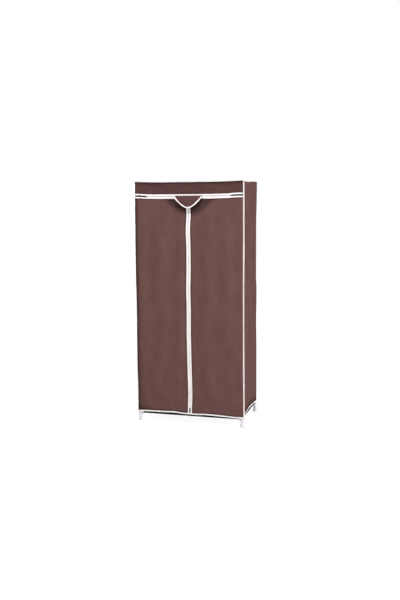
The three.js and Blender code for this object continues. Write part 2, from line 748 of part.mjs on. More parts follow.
// A plain tube with open ends, laid along a unit direction about its middle.
function tube(direction, length) {
  const inner = tubeRadius - TUBE_WALL;
  const profile = [
    new THREE.Vector2(inner, -length / 2),
    new THREE.Vector2(tubeRadius, -length / 2),
    new THREE.Vector2(tubeRadius, length / 2),
    new THREE.Vector2(inner, length / 2),
    new THREE.Vector2(inner, -length / 2),
  ];
  return turnedTo(direction, new THREE.LatheGeometry(profile, TUBE_SIDES));
}

// Sockets for tubes in the given directions, with a collar at each mouth and a rounded core.
function socketPieces(sockets) {
  const pieces = [new THREE.SphereGeometry(collarRadius, CORE_SIDES, CORE_SIDES / 2)];
  for (const { direction, reach } of sockets) {
    pieces.push(rod(direction, 0, reach, socketRadius));
    pieces.push(rod(direction, reach - COLLAR_WIDTH, reach, collarRadius));
  }
  return pieces;
}

const bore = ({ direction, reach }) => rod(direction, SOCKET_SEAT, reach + CUT_OVERRUN, boreRadius);

// The web under an arm of the foot, sweeping down to the leg in a hollow curve.
function gusset(direction) {
  const top = -boreRadius - SOCKET_GAP;
  const end = FOOT_ARM_REACH - GUSSET_END_INSET;
  const foot = GUSSET_FOOT_HEIGHT - BOTTOM_RAIL_HEIGHT;
  const shape = new THREE.Shape();
  shape.moveTo(0, top);
  shape.lineTo(0, foot);
  shape.lineTo(LEG_DIAMETER / 2, foot);
  shape.quadraticCurveTo(LEG_DIAMETER / 2, -socketRadius - COLLAR_RISE, end, -socketRadius - COLLAR_RISE);
  shape.lineTo(end, top);
  shape.closePath();
  const geometry = new THREE.ExtrudeGeometry(shape, {
    depth: GUSSET_THICKNESS,
    bevelEnabled: false,
    curveSegments: CURVE_STEPS,
  });
  geometry.translate(0, 0, -GUSSET_THICKNESS / 2);
  geometry.rotateX(Math.PI / 2);
  return geometry.rotateZ(Math.atan2(direction.y, direction.x));
}

function leg() {
  const profile = [
    new THREE.Vector2(0, -BOTTOM_RAIL_HEIGHT),
    new THREE.Vector2(PAD_DIAMETER / 2 - PAD_EDGE, -BOTTOM_RAIL_HEIGHT),
    new THREE.Vector2(PAD_DIAMETER / 2, PAD_EDGE - BOTTOM_RAIL_HEIGHT),
    new THREE.Vector2(PAD_DIAMETER / 2, PAD_HEIGHT - BOTTOM_RAIL_HEIGHT),
    new THREE.Vector2(LEG_DIAMETER / 2, PAD_HEIGHT + PAD_EDGE - BOTTOM_RAIL_HEIGHT),
    new THREE.Vector2(LEG_DIAMETER / 2, 0),
    new THREE.Vector2(0, 0),
  ];
  return turnedTo(Z, new THREE.LatheGeometry(profile, TUBE_SIDES));
}

// A foot at a bottom corner: an upright socket, two arms for the rails, webs, and a leg with a pad.
function footConnector(sideX, sideY) {
  const alongX = X.clone().multiplyScalar(-sideX);
  const alongY = Y.clone().multiplyScalar(-sideY);
  const sockets = [
    { direction: Z, reach: SOCKET_REACH },
    { direction: alongX, reach: FOOT_ARM_REACH },
    { direction: alongY, reach: FOOT_ARM_REACH },
  ];
  const pieces = [...socketPieces(sockets), leg(), gusset(alongX), gusset(alongY)];
  return joinedAndCut(pieces, sockets.map(bore));
}

// A corner at the top: one socket down and two along the rails.
function topConnector(sideX, sideY) {
  const sockets = [
    { direction: Z.clone().negate(), reach: SOCKET_REACH },
    { direction: X.clone().multiplyScalar(-sideX), reach: SOCKET_REACH },
    { direction: Y.clone().multiplyScalar(-sideY), reach: SOCKET_REACH },
  ];
  return joinedAndCut(socketPieces(sockets), sockets.map(bore));
}

// A joint halfway up a post: the rear pair also takes the rear rail.
function midConnector(sideX, sideY) {
  const sockets = [
    { direction: Z, reach: SOCKET_REACH },
    { direction: Z.clone().negate(), reach: SOCKET_REACH },
    { direction: Y.clone().multiplyScalar(-sideY), reach: SOCKET_REACH },
  ];
  if (sideY > 0) {
    sockets.push({ direction: X.clone().multiplyScalar(-sideX), reach: SOCKET_REACH });
  }
  return joinedAndCut(socketPieces(sockets), sockets.map(bore));
}

// A clip that hangs on a top side rail and holds one end of the hanging rail below it.
function railSaddle(sideX) {
  const inward = X.clone().multiplyScalar(-sideX);
  const drop = new THREE.Vector3(0, 0, -HANGING_RAIL_DROP);
  const place = (geometry) => geometry.translate(drop.x, drop.y, drop.z);
  const halfSaddle = SADDLE_WIDTH / 2;
  const pieces = [
    rod(Y, -halfSaddle, halfSaddle, socketRadius),
    place(rod(inward, -socketRadius / 2, SADDLE_REACH, socketRadius)),
    block([-SADDLE_WEB / 2, -halfSaddle, -HANGING_RAIL_DROP], [SADDLE_WEB / 2, halfSaddle, -boreRadius]),
  ];
  const cutters = [
    rod(Y, -halfSaddle - CUT_OVERRUN, halfSaddle + CUT_OVERRUN, boreRadius),
    place(rod(inward, SADDLE_WEB / 2, SADDLE_REACH + CUT_OVERRUN, boreRadius)),
  ];
  return joinedAndCut(pieces, cutters);
}

// The base: one cloth stretched from the front bottom rail to the rear one, with a sleeve round each.
function baseCloth() {
  const half = postX - FOOT_ARM_REACH - SHELF_END_GAP;
  const sleeveInner = tubeRadius + FIT_GAP;
  const sleeveOuter = sleeveInner + SHELF_THICKNESS;
  const pieces = [];
  const cutters = [];
  for (const side of [-1, 1]) {
    pieces.push(rod(X, -half, half, sleeveOuter).translate(0, side * postY, 0));
    cutters.push(rod(X, -half - CUT_OVERRUN, half + CUT_OVERRUN, sleeveInner).translate(0, side * postY, 0));
  }
  const flatTop = sleeveOuter * Math.cos(Math.PI / TUBE_SIDES);
  pieces.push(block([-half, -postY, flatTop - SHELF_THICKNESS], [half, postY, flatTop]));
  return joinedAndCut(pieces, cutters);
}

// Assembly

function part(name, geometry, material, x = 0, y = 0, z = 0) {
  const mesh = new THREE.Mesh(geometry, material);
  mesh.name = name;
  mesh.position.set(x, y, z);
  return mesh;
}

// A tube laid between two seats along one axis, kept clear of the seats at both ends.
function seatedTube(name, axis, from, to, x, y, z) {
  const length = to - from - 2 * (SOCKET_SEAT + FIT_GAP);
  const middle = (from + to) / 2;
  const mesh = part(name, tube(axis, length), blackEnamel(), x, y, z);
  mesh.position.addScaledVector(axis, middle);
  return mesh;
}

function frameGroup() {
  const group = new THREE.Group();
  for (const [sideY, end] of [[-1, 'front'], [1, 'rear']]) {
    for (const [sideX, hand] of [[-1, 'left'], [1, 'right']]) {
      const x = sideX * postX;
      const y = sideY * postY;
      const corner = `${end}_${hand}`;
      const foot = footConnector(sideX, sideY);
      const middle = midConnector(sideX, sideY);
      const top = topConnector(sideX, sideY);
      group.add(
        part(`foot_connector_${corner}`, foot, whitePlastic(), x, y, BOTTOM_RAIL_HEIGHT),
        part(`mid_connector_${corner}`, middle, whitePlastic(), x, y, MID_RAIL_HEIGHT),
        part(`top_connector_${corner}`, top, whitePlastic(), x, y, topRailHeight),
        seatedTube(`lower_upright_${corner}`, Z, BOTTOM_RAIL_HEIGHT, MID_RAIL_HEIGHT, x, y, 0),
        seatedTube(`upper_upright_${corner}`, Z, MID_RAIL_HEIGHT, topRailHeight, x, y, 0),
      );
    }
    group.add(
      seatedTube(`bottom_rail_${end}`, X, -postX, postX, 0, sideY * postY, BOTTOM_RAIL_HEIGHT),
      seatedTube(`top_rail_${end}`, X, -postX, postX, 0, sideY * postY, topRailHeight),
    );
  }
  for (const [sideX, hand] of [[-1, 'left'], [1, 'right']]) {
    const x = sideX * postX;
    group.add(
      seatedTube(`bottom_rail_${hand}`, Y, -postY, postY, x, 0, BOTTOM_RAIL_HEIGHT),
      seatedTube(`mid_rail_${hand}`, Y, -postY, postY, x, 0, MID_RAIL_HEIGHT),
      seatedTube(`top_rail_${hand}`, Y, -postY, postY, x, 0, topRailHeight),
      part(`rail_saddle_${hand}`, railSaddle(sideX), whitePlastic(), x, 0, topRailHeight),
    );
  }
  group.add(seatedTube('mid_rail_rear', X, -postX, postX, 0, postY, MID_RAIL_HEIGHT));
  const railSeat = postX - SADDLE_WEB / 2 + SOCKET_SEAT;
  group.add(seatedTube('hanging_rail', X, -railSeat, railSeat, 0, 0, hangingRailHeight));
  group.add(part('bottom_shelf', baseCloth(), blackCloth(), 0, 0, BOTTOM_RAIL_HEIGHT));
  return group;
}

function coverGroup() {
  const group = new THREE.Group();
  group.add(
    part('cover_roof', roofCloth(), brownCloth()),
    part('cover_back', backCloth(), brownCloth()),
    part('cover_left_side', sideCloth(-1), brownCloth()),
    part('cover_right_side', sideCloth(1), brownCloth()),
    part('hem_binding', hemBinding(), whiteTape()),
  );
  return group;
}

// Everything in the front face: its local Y is measured inwards from the cover's outer face.
function frontGroup() {
  const group = new THREE.Group();
  group.position.set(0, -halfDepth, 0);
  group.add(
    part('cover_header', headerCloth(), brownCloth()),
    part('header_binding', headerBinding(), whiteTape()),
    part('header_zip_tape', headerTape(), whiteTape()),
    part('front_seam_binding_top', topFin(), whiteTape()),
  );
  for (const [side, hand, centreTop] of [[-1, 'left', parkedBelow], [1, 'right', centreZipTop]]) {
    group.add(
      part(`front_seam_binding_${hand}`, cornerFin(side), whiteTape()),
      part(`${hand}_door`, doorCloth(side), brownCloth()),
      part(`${hand}_door_binding`, doorBinding(side), whiteTape()),
      part(`${hand}_door_zip_tape`, doorTape(side, centreTop), whiteTape()),
    );
  }
  return group;
}

// A slider with its pull, turned so that its tail points the way it travels when it opens.
function sliderGroup(place, x, z, turn) {
  const group = new THREE.Group();
  group.position.set(x, -halfDepth, z);
  group.rotation.y = turn;
  group.add(
    part(`zip_slider_${place}`, sliderBody(), whiteEnamel()),
    part(`zip_pull_${place}`, pullTab(), whiteEnamel(), 0, pullLevel, 0),
  );
  return group;
}

function flapGroup() {
  const group = new THREE.Group();
  group.position.set(0, -halfDepth + bindingFront, headerBindingLow);
  group.add(
    part('zip_flap', flapCloth(), brownCloth()),
    part('zip_flap_binding', flapBinding(), whiteTape()),
  );
  return group;
}

const wardrobe = new THREE.Group();
wardrobe.name = 'fabric_wardrobe';
wardrobe.add(
  frameGroup(),
  coverGroup(),
  frontGroup(),
  sliderGroup('left', -SLIDER_PARK, zipHeight, Math.PI),
  sliderGroup('right', SLIDER_PARK, zipHeight, 0),
  sliderGroup('centre', 0, centreSliderHeight, Math.PI / 2),
  flapGroup(),
);

export default wardrobe;
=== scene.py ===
"""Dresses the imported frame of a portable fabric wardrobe.

Metres, +Z up, the doors face -Y, and the origin is on the floor under the middle of the cover.
"""

import json
import logging
import math
from abc import ABC, abstractmethod
from collections.abc import Callable, Iterable, Sequence
from dataclasses import dataclass, field
from enum import Enum

import bmesh
import bpy
import numpy as np
from bpy.types import Material, Mesh, Node, NodeSocket, NodeTree, Object
from mathutils import Matrix, Vector

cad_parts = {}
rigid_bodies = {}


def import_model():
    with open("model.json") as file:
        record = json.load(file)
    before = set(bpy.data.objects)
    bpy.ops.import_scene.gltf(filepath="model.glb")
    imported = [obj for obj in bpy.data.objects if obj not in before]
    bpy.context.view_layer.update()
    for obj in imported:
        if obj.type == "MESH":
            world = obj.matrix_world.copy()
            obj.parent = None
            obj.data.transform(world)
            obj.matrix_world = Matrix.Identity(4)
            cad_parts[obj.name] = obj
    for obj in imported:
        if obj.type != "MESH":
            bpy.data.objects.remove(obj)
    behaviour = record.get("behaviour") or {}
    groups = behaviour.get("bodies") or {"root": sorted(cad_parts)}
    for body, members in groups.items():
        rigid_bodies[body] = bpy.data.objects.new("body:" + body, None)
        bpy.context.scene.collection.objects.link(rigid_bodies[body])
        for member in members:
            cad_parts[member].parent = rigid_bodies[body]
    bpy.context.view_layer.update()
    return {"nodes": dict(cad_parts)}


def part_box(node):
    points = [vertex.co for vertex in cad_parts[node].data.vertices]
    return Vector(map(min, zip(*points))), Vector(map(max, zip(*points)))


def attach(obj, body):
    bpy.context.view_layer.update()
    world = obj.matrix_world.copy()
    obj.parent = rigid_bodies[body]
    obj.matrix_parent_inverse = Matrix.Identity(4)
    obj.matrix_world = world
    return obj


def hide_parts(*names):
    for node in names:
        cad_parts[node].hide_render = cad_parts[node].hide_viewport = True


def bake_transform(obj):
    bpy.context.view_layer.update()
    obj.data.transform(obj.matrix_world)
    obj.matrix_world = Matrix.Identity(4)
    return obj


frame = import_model()

logging.basicConfig(level=logging.INFO, format="%(name)s: %(message)s")
log = logging.getLogger("wardrobe")

Array = np.ndarray
Pair = tuple[float, float]
Point = tuple[float, float, float]
Colour = tuple[float, float, float, float]
Table = tuple[tuple[float, ...], tuple[float, ...]]
# A number for each place across and up a panel
Spread = Callable[[Array, Array], Array]
# A line of points, and the way that what is set on it faces
Line = tuple[Array, Sequence[float]]

CLOTH_MAP = "cloth"
# How dark the cloth shows at each point: where it lies double, and painted shade beside seams,
# under bands and round the flap
DOUBLED_AND_SHADE = "doubled"
FRAME_BODY = "frame_and_cover"
UP = Vector((0, 0, 1))
TURN = 2 * math.pi
CLOTH_ANGLE = 60
TAPE_ANGLE = 50
TUBE_ANGLE = 40
MOULD_ANGLE = 32
WEB_ANGLE = 30


class Way(Enum):
    """One of two opposite ways, as the sign of its axis."""

    @property
    def label(self) -> str:
        """Its word in the names of pieces."""
        return self.name.lower()


class Side(Way):
    """The left or the right of the wardrobe, seen from the front."""

    LEFT = -1
    RIGHT = 1


class End(Way):
    """The front or the rear of the wardrobe."""

    FRONT = -1
    REAR = 1


def swell(share: Array) -> Array:
    """Zero at both ends of an edge and full over most of its middle."""
    return 1 - (2 * share - 1) ** 4


def smooth_step(value: Array, low: float, high: float) -> Array:
    """Climbs from 0 at low to 1 at high, level at both.

    Args:
        value: Where to look.
        low: The value that gives 0.
        high: The value that gives 1.

    Returns:
        The share climbed.
    """
    share = np.clip((np.asarray(value, float) - low) / (high - low), 0, 1)
    return share * share * (3 - 2 * share)


def fade(value: Array, low: float, high: float) -> Array:
    """Falls from 1 at low to 0 at high, level at both."""
    return 1 - smooth_step(value, low, high)


def eased_table(value: Array, table: Table) -> Array:
    """Reads a table of heights, level at each of its places.

    Args:
        value: Where to look.
        table: The places, rising, and the height at each.

    Returns:
        The height at each value.
    """
    places, heights = table
    value = np.asarray(value, float)
    found = np.full(value.shape, heights[0], float)
    for step in range(len(places) - 1):
        climb = heights[step + 1] - heights[step]
        found = found + climb * smooth_step(value, places[step], places[step + 1])
    return found


@dataclass(frozen=True)
class CoverSizes:
    """The sizes that the pieces of the cover share, in metres."""

    half_width: float = 0.361
    half_depth: float = 0.218
    height: float = 1.600
    hem: float = 0.064
    top_sag: float = 0.0055
    side_sag: float = 0.0064
    side_sag_end: float = 0.72
    roof_sag: float = 0.010
    cloth: float = 0.0006
    raw_inset: float = 0.0009
    end_inset: float = 0.0013
    allowance: float = 0.02
    binding: float = 0.0088
    hem_binding: float = 0.0095
    header_low: float = 1.508
    door_top: float = 1.498
    zip_height: float = 1.503
    zip_half_gap: float = 0.005
    cross_zip_end: float = 0.279
    centre_zip_end: float = 0.105
    coil_end: float = 0.109
    slit_top: float = 0.1125
    slit_half_width: float = 0.0040
    tail_height: float = 0.0112
    stop_length: float = 0.004
    tape_width: float = 0.014
    tape_inset: float = 0.0005
    tape_depth: float = 0.0030

    @property
    def front(self) -> float:
        """Where the face of the front cloth lies."""
        return -self.half_depth

    def top_drop(self, share: Array) -> Array:
        """How far the front and rear top edges hang low, for shares from 0 to 1 along them."""
        return self.top_sag * swell(share)

    def side_drop(self, share: Array) -> Array:
        """How far a side's top edge hangs low, for shares from the front to the rear."""
        return self.side_sag * np.sin(np.pi * np.clip(share / self.side_sag_end, 0, 1)) ** 1.4


SIZES = CoverSizes()


# Meshes


def link_object(name: str, mesh: Mesh) -> Object:
    """Puts a mesh in the scene as an object at the origin."""
    piece = bpy.data.objects.new(name, mesh)
    bpy.context.scene.collection.objects.link(piece)
    return piece


def mark_edges(mesh: Mesh, angle: float, mend: bool = False) -> None:
    """Shades a mesh smooth, apart from its sharp edges.

    Args:
        mesh: The mesh to shade.
        angle: The angle between two faces, in degrees, past which their edge is sharp.
        mend: Whether the faces are turned outwards first.
    """
    work = bmesh.new()
    work.from_mesh(mesh)
    if mend:
        bmesh.ops.recalc_face_normals(work, faces=work.faces)
    limit = math.radians(angle)
    for face in work.faces:
        face.smooth = True
    for edge in work.edges:
        edge.smooth = edge.calc_face_angle(0.0) < limit
    work.to_mesh(mesh)
    work.free()


def mesh_of(points: Array, faces: Sequence[Sequence[int]]) -> Mesh:
    """Makes a mesh from points and faces."""
    mesh = bpy.data.meshes.new("mesh")
    mesh.from_pydata(np.asarray(points, float).reshape(-1, 3).tolist(), [], faces)
    mesh.update()
    return mesh


def path_mesh(points: Array) -> Mesh:
    """A path through points, as a mesh of edges."""
    mesh = bpy.data.meshes.new("path")
    edges = [(place, place + 1) for place in range(len(points) - 1)]
    mesh.from_pydata(np.asarray(points, float).tolist(), edges, [])
    return mesh


def store_map(mesh: Mesh, places: Array) -> None:
    """Keeps the cloth's own flat places, in metres, as the mesh's map."""
    layer = mesh.uv_layers.new(name=CLOTH_MAP)
    corners = np.zeros(len(mesh.loops), np.int32)
    mesh.loops.foreach_get("vertex_index", corners)
    layer.data.foreach_set("uv", places.reshape(-1, 2)[corners].astype(np.float32).ravel())


def grid_faces(rows: int, columns: int, start: int = 0, turned: bool = False) -> list[tuple]:
    """The faces of a grid of points.

    Args:
        rows: How many rows of points there are.
        columns: How many points a row has.
        start: The number of the grid's first point.
        turned: Whether the faces look the other way.

    Returns:
        The corners of each face.
    """
    faces = []
    for row in range(rows - 1):
        for column in range(columns - 1):
            a = start + row * columns + column
            face = (a, a + 1, a + columns + 1, a + columns)
            faces.append(face[::-1] if turned else face)
    return faces


def cloth_mesh(face: Array, flat: Array, doubled: Array | None = None) -> Mesh:
    """A thin closed cloth behind a grid of points.

    Args:
        face: The points of the face, as rows, columns and three numbers.
        flat: The same points on the flat cloth, in metres.
        doubled: How dark the cloth shows at each point, from 0 to 1: where it lies double, and
            painted shade.

    Returns:
        The mesh, with its map and its shares of double cloth and painted shade.
    """
    rows, columns = face.shape[:2]
    normal = np.cross(np.gradient(face, axis=1), np.gradient(face, axis=0))
    normal /= np.linalg.norm(normal, axis=2, keepdims=True)
    points = np.concatenate([face.reshape(-1, 3), (face - SIZES.cloth * normal).reshape(-1, 3)])
    back = rows * columns
    rim = list(range(columns - 1))
    rim += [row * columns + columns - 1 for row in range(rows - 1)]
    rim += [(rows - 1) * columns + column for column in range(columns - 1, 0, -1)]
    rim += [row * columns for row in range(rows - 1, 0, -1)]
    faces = grid_faces(rows, columns) + grid_faces(rows, columns, back, True)
    for place, corner in enumerate(rim):
        following = rim[(place + 1) % len(rim)]
        faces.append((following, corner, back + corner, back + following))
    mesh = mesh_of(points, faces)
    store_map(mesh, np.tile(flat.reshape(-1, 2), (2, 1)))
    shares = np.zeros((rows, columns)) if doubled is None else doubled
    attribute = mesh.attributes.new(DOUBLED_AND_SHADE, "FLOAT", "POINT")
    attribute.data.foreach_set("value", np.tile(shares.ravel(), 2).astype(np.float32))
    mark_edges(mesh, CLOTH_ANGLE)
    return mesh


def ring_faces(rings: int, size: int) -> list[tuple]:
    """The faces of a closed solid through rings of that many points, capped at both ends."""
    faces = []
    for ring in range(rings - 1):
        for corner in range(size):
            a, b = ring * size + corner, ring * size + (corner + 1) % size
            faces.append((a, b, b + size, a + size))
    last = (rings - 1) * size
    return [*faces, tuple(range(size))[::-1], tuple(range(last, last + size))]


def walked_along(points: Array) -> Array:
    """The distance walked to each point of a line."""
    return np.concatenate([[0], np.cumsum(np.linalg.norm(np.diff(points, axis=0), axis=1))])


def swept(stations: Array, section: Array, across: Array, out: Sequence[float] | Array) -> Array:
    """Sweeps a cross-section along a path.

    Args:
        stations: The points of the path.
        section: The cross-section's points, as two numbers each.
        across: The direction of the first number at each station.
        out: The direction of the second, one for all stations or one for each.

    Returns:
        The rings of points.
    """
    across, out = (np.broadcast_to(way, stations.shape)[:, None] for way in (across, out))
    return stations[:, None] + section[None, :, :1] * across + section[None, :, 1:] * out


def strip_mesh(rings: Array, walked: Array, section: Array) -> Mesh:
    """A closed strip of tape through rings of points.

    Args:
        rings: The points, as stations, points of a ring and three numbers.
        walked: The distance walked along the tape to each station.
        section: The cross-section that was swept.

    Returns:
        The mesh, with the tape's flat places as its map.
    """
    mesh = mesh_of(rings, ring_faces(*rings.shape[:2]))
    flat = np.broadcast_arrays(walked[:, None], walked_along(section)[None])
    store_map(mesh, np.stack(flat, axis=2))
    mark_edges(mesh, TAPE_ANGLE, mend=True)
    return mesh


def soft_block(centre: Vector, size: Vector, edge: float, segments: int) -> Mesh:
    """A block with rounded edges.

    Args:
        centre: Its middle.
        size: Its three lengths.
        edge: How far its edges are cut back.
        segments: How many faces round an edge.

    Returns:
        The closed mesh.
    """
    work = bmesh.new()
    bmesh.ops.create_cube(work, size=1.0)
    for vertex in work.verts:
        vertex.co = centre + Matrix.Diagonal(size) @ vertex.co
    bmesh.ops.bevel(
        work, geom=work.edges, offset=edge, segments=segments, profile=0.5, affect="EDGES"
    )
    mesh = bpy.data.meshes.new("block")
    work.to_mesh(mesh)
    work.free()
    return mesh


def joined_mesh(meshes: Sequence[Mesh]) -> Mesh:
    """Puts meshes into one and drops the originals; a single mesh is given back as it is."""
    if len(meshes) == 1:
        return meshes[0]
    work = bmesh.new()
    for mesh in meshes:
        work.from_mesh(mesh)
    made = bpy.data.meshes.new("joined")
    work.to_mesh(made)
    work.free()
    for mesh in meshes:
        bpy.data.meshes.remove(mesh)
    return made


def evaluated_mesh(piece: Object) -> Mesh:
    """The mesh that an object's modifiers give, after which the object is removed."""
    graph = bpy.context.evaluated_depsgraph_get()
    mesh = bpy.data.meshes.new_from_object(piece.evaluated_get(graph))
    bpy.data.objects.remove(piece)
    return mesh


def facing_matrix(place: Vector, direction: Vector) -> Matrix:
    """Turns +Z to a direction and moves the origin to a place."""
    return Matrix.Translation(place) @ UP.rotation_difference(direction).to_matrix().to_4x4()


class Nodes:
    """A tree whose nodes are added and joined one by one."""

    def __init__(self, tree: NodeTree) -> None:
        """Takes the tree to work on."""
        self.tree = tree

    def feed(self, socket: NodeSocket, source: object) -> None:
        """Joins a socket to another or to a node's first one, or sets it to a plain value."""
        if isinstance(source, Node):
            source = source.outputs[0]
        if isinstance(source, NodeSocket):
            self.tree.links.new(source, socket)
        else:
            socket.default_value = source

    def node(
        self, kind: str, feeds: dict[str | int, object] | None = None, **settings: object
    ) -> Node:
        """Adds a node.

        Args:
            kind: The node's type.
            feeds: What feeds each input, by the input's name or number.
            settings: The node's own settings.

        Returns:
            The node.
        """
        made = self.tree.nodes.new(kind)
        for name, value in settings.items():
            setattr(made, name, value)
        for name, source in (feeds or {}).items():
            self.feed(made.inputs[name], source)
        return made

    def maths(self, operation: str, *terms: object) -> NodeSocket:
        """One step of arithmetic on numbers or sockets."""
        step = self.node("ShaderNodeMath", dict(enumerate(terms)), operation=operation)
        return step.outputs[0]


# Finishes


class Recipe(Nodes):
    """A material built on a plain surface."""

    def __init__(self, name: str) -> None:
        """Starts from a plain surface of that name."""
        self.material = bpy.data.materials.new(name)
        self.material.use_nodes = True
        super().__init__(self.material.node_tree)
        self.surface = self.tree.nodes["Principled BSDF"]

    def ramp(self, value: object, low: float, high: float) -> NodeSocket:
        """A smooth climb from 0 at low to 1 at high."""
        feeds = {"Value": value, "From Min": low, "From Max": high}
        return self.node("ShaderNodeMapRange", feeds, interpolation_type="SMOOTHSTEP").outputs[0]

    def mix(self, share: object, first: object, second: object) -> NodeSocket:
        """A colour between two others."""
        step = self.node("ShaderNodeMix", data_type="RGBA")
        wanted = {"Factor_Float": share, "A_Color": first, "B_Color": second}
        for socket in step.inputs:
            if socket.identifier in wanted:
                self.feed(socket, wanted[socket.identifier])
        return next(s for s in step.outputs if s.identifier == "Result_Color")

    def noise(self, place: NodeSocket, scale: float, detail: float = 2) -> NodeSocket:
        """Even-tempered noise between 0 and 1."""
        feeds = {"Vector": place, "Scale": scale, "Detail": detail}
        return self.node("ShaderNodeTexNoise", feeds).outputs[0]

    def cloth_place(self) -> NodeSocket:
        """The place on the flat cloth, in metres."""
        return self.node("ShaderNodeUVMap", uv_map=CLOTH_MAP).outputs[0]

    def object_place(self) -> NodeSocket:
        """The place in the object, in metres."""
        return self.node("ShaderNodeTexCoord").outputs["Object"]

    def stretched(self, place: NodeSocket, *scale: float) -> NodeSocket:
        """A place scaled by a number along each axis."""
        return self.node("ShaderNodeMapping", {"Vector": place, "Scale": scale}).outputs[0]

    def parts(self, place: NodeSocket) -> tuple[NodeSocket, ...]:
        """The separate numbers of a place."""
        return tuple(self.node("ShaderNodeSeparateXYZ", {0: place}).outputs)

    def relief(self, height: NodeSocket, depth: float, strength: float) -> None:
        """Gives the surface a relief of that depth in metres."""
        feeds = {"Strength": strength, "Distance": depth, "Height": height}
        self.feed(self.surface.inputs["Normal"], self.node("ShaderNodeBump", feeds))

    def dress(self, **values: object) -> Material:
        """Feeds the surface's sockets by name, with _ for a space, and gives the material."""
        for name, value in values.items():
            self.feed(self.surface.inputs[name.replace("_", " ")], value)
        return self.material


@dataclass(frozen=True)
class Look(ABC):
    """A surface in two tones, which can build its own material."""

    name: str
    light: Colour
    dark: Colour

    @abstractmethod
    def material(self) -> Material:
        """Builds the material."""


@dataclass(frozen=True)
class NonWovenCloth(Look):
    """Spun-bonded cloth: fibres pressed together at small points, darker where it lies double and
    under painted shade.
    """

    # The tone of double cloth, also used for painted shade and for the pressed points
    double: Colour
    pitch: float = 0.0017
    roughness: float = 0.86
    fibre_scale: float = 900
    fleck_scale: float = 260
    patch_scale: float = 9
    pressed_share: float = 0.22

    def material(self) -> Material:
        """Builds the material."""
        recipe = Recipe(self.name)
        place = recipe.cloth_place()
        turn = TURN / self.pitch
        across, up, _ = recipe.parts(recipe.stretched(place, turn, turn, 1))
        waves = [recipe.maths("COSINE", way) for way in (across, up)]
        points = recipe.ramp(recipe.maths("MULTIPLY", *waves), 0.35, 0.75)
        fibres = recipe.noise(recipe.stretched(place, 1, 2.6, 1), self.fibre_scale, 3)
        patches = recipe.noise(recipe.stretched(place, 1.6, 0.7, 1), self.patch_scale, 3)
        flecks = recipe.noise(place, self.fleck_scale)
        shade = recipe.maths("MULTIPLY_ADD", flecks, 0.35, recipe.maths("MULTIPLY", patches, 0.75))
        colour = recipe.mix(recipe.ramp(shade, 0.32, 0.78), self.dark, self.light)
        # The share kept on the mesh: double cloth, and painted shade beside seams, under bands and
        # round the flap
        layers_and_shade = recipe.node("ShaderNodeAttribute", attribute_name=DOUBLED_AND_SHADE)
        colour = recipe.mix(layers_and_shade.outputs["Fac"], colour, self.double)
        pressed = recipe.maths("MULTIPLY", points, self.pressed_share)
        colour = recipe.mix(pressed, colour, self.double)
        matt = recipe.maths("MULTIPLY_ADD", points, -0.14, self.roughness)
        recipe.relief(recipe.maths("MULTIPLY_ADD", points, -0.7, fibres), 0.00025, 0.35)
        return recipe.dress(
            Base_Color=colour, Roughness=matt, Sheen_Weight=0.02, Sheen_Roughness=0.5, IOR=1.03
        )


@dataclass(frozen=True)
class RibbedTape(Look):
    """Woven binding tape with fine ribs across it."""

    rib: float = 0.0009
    weft: float = 0.0006
    wear_scale: float = 45

    def material(self) -> Material:
        """Builds the material."""
        recipe = Recipe(self.name)
        place = recipe.cloth_place()
        ribs, threads = (
            recipe.maths("SINE", recipe.maths("MULTIPLY", way, TURN / length))
            for way, length in zip(recipe.parts(place), (self.rib, self.weft))
        )
        weave = recipe.maths("MULTIPLY_ADD", threads, 0.4, ribs)
        worn = recipe.noise(recipe.stretched(place, 1, 3, 1), self.wear_scale, 3)
        # Painted shade: the hollows between the ribs are darkened; the worn noise is the tape's own
        # wear
        valley = recipe.ramp(weave, 0.2, -1.2)
        shade = recipe.maths("MULTIPLY_ADD", valley, 0.45, recipe.maths("MULTIPLY", worn, 0.55))
        colour = recipe.mix(recipe.ramp(shade, 0.2, 0.95), self.light, self.dark)
        recipe.relief(weave, 0.00012, 0.3)
        return recipe.dress(
            Base_Color=colour, Roughness=0.78, Sheen_Weight=0.1, Specular_IOR_Level=0.3
        )


@dataclass(frozen=True)
class Thread(Look):
    """Twisted sewing thread."""

    strand_scale: float = 2200

    def material(self) -> Material:
        """Builds the material."""
        recipe = Recipe(self.name)
        strands = recipe.noise(recipe.object_place(), self.strand_scale)
        recipe.relief(strands, 0.0001, 0.4)
        colour = recipe.mix(strands, self.dark, self.light)
        return recipe.dress(Base_Color=colour, Roughness=0.6, Sheen_Weight=0.1)


@dataclass(frozen=True)
class MouldedPlastic(Look):
    """Satin moulded plastic: faint grain, slow changes of tone and a few rubbed patches."""

    roughness: float = 0.42
    tone_scale: float = 28
    grain_scale: float = 1400
    rub_scale: float = 90

    def material(self) -> Material:
        """Builds the material."""
        recipe = Recipe(self.name)
        place = recipe.object_place()
        tone = recipe.noise(place, self.tone_scale)
        rubbed = recipe.ramp(recipe.noise(place, self.rub_scale, 4), 0.55, 0.75)
        colour = recipe.mix(recipe.ramp(tone, 0.3, 0.7), self.dark, self.light)
        matt = recipe.maths("MULTIPLY_ADD", rubbed, 0.16, self.roughness)
        recipe.relief(recipe.noise(place, self.grain_scale), 0.00008, 0.25)
        return recipe.dress(Base_Color=colour, Roughness=matt, Specular_IOR_Level=0.5)


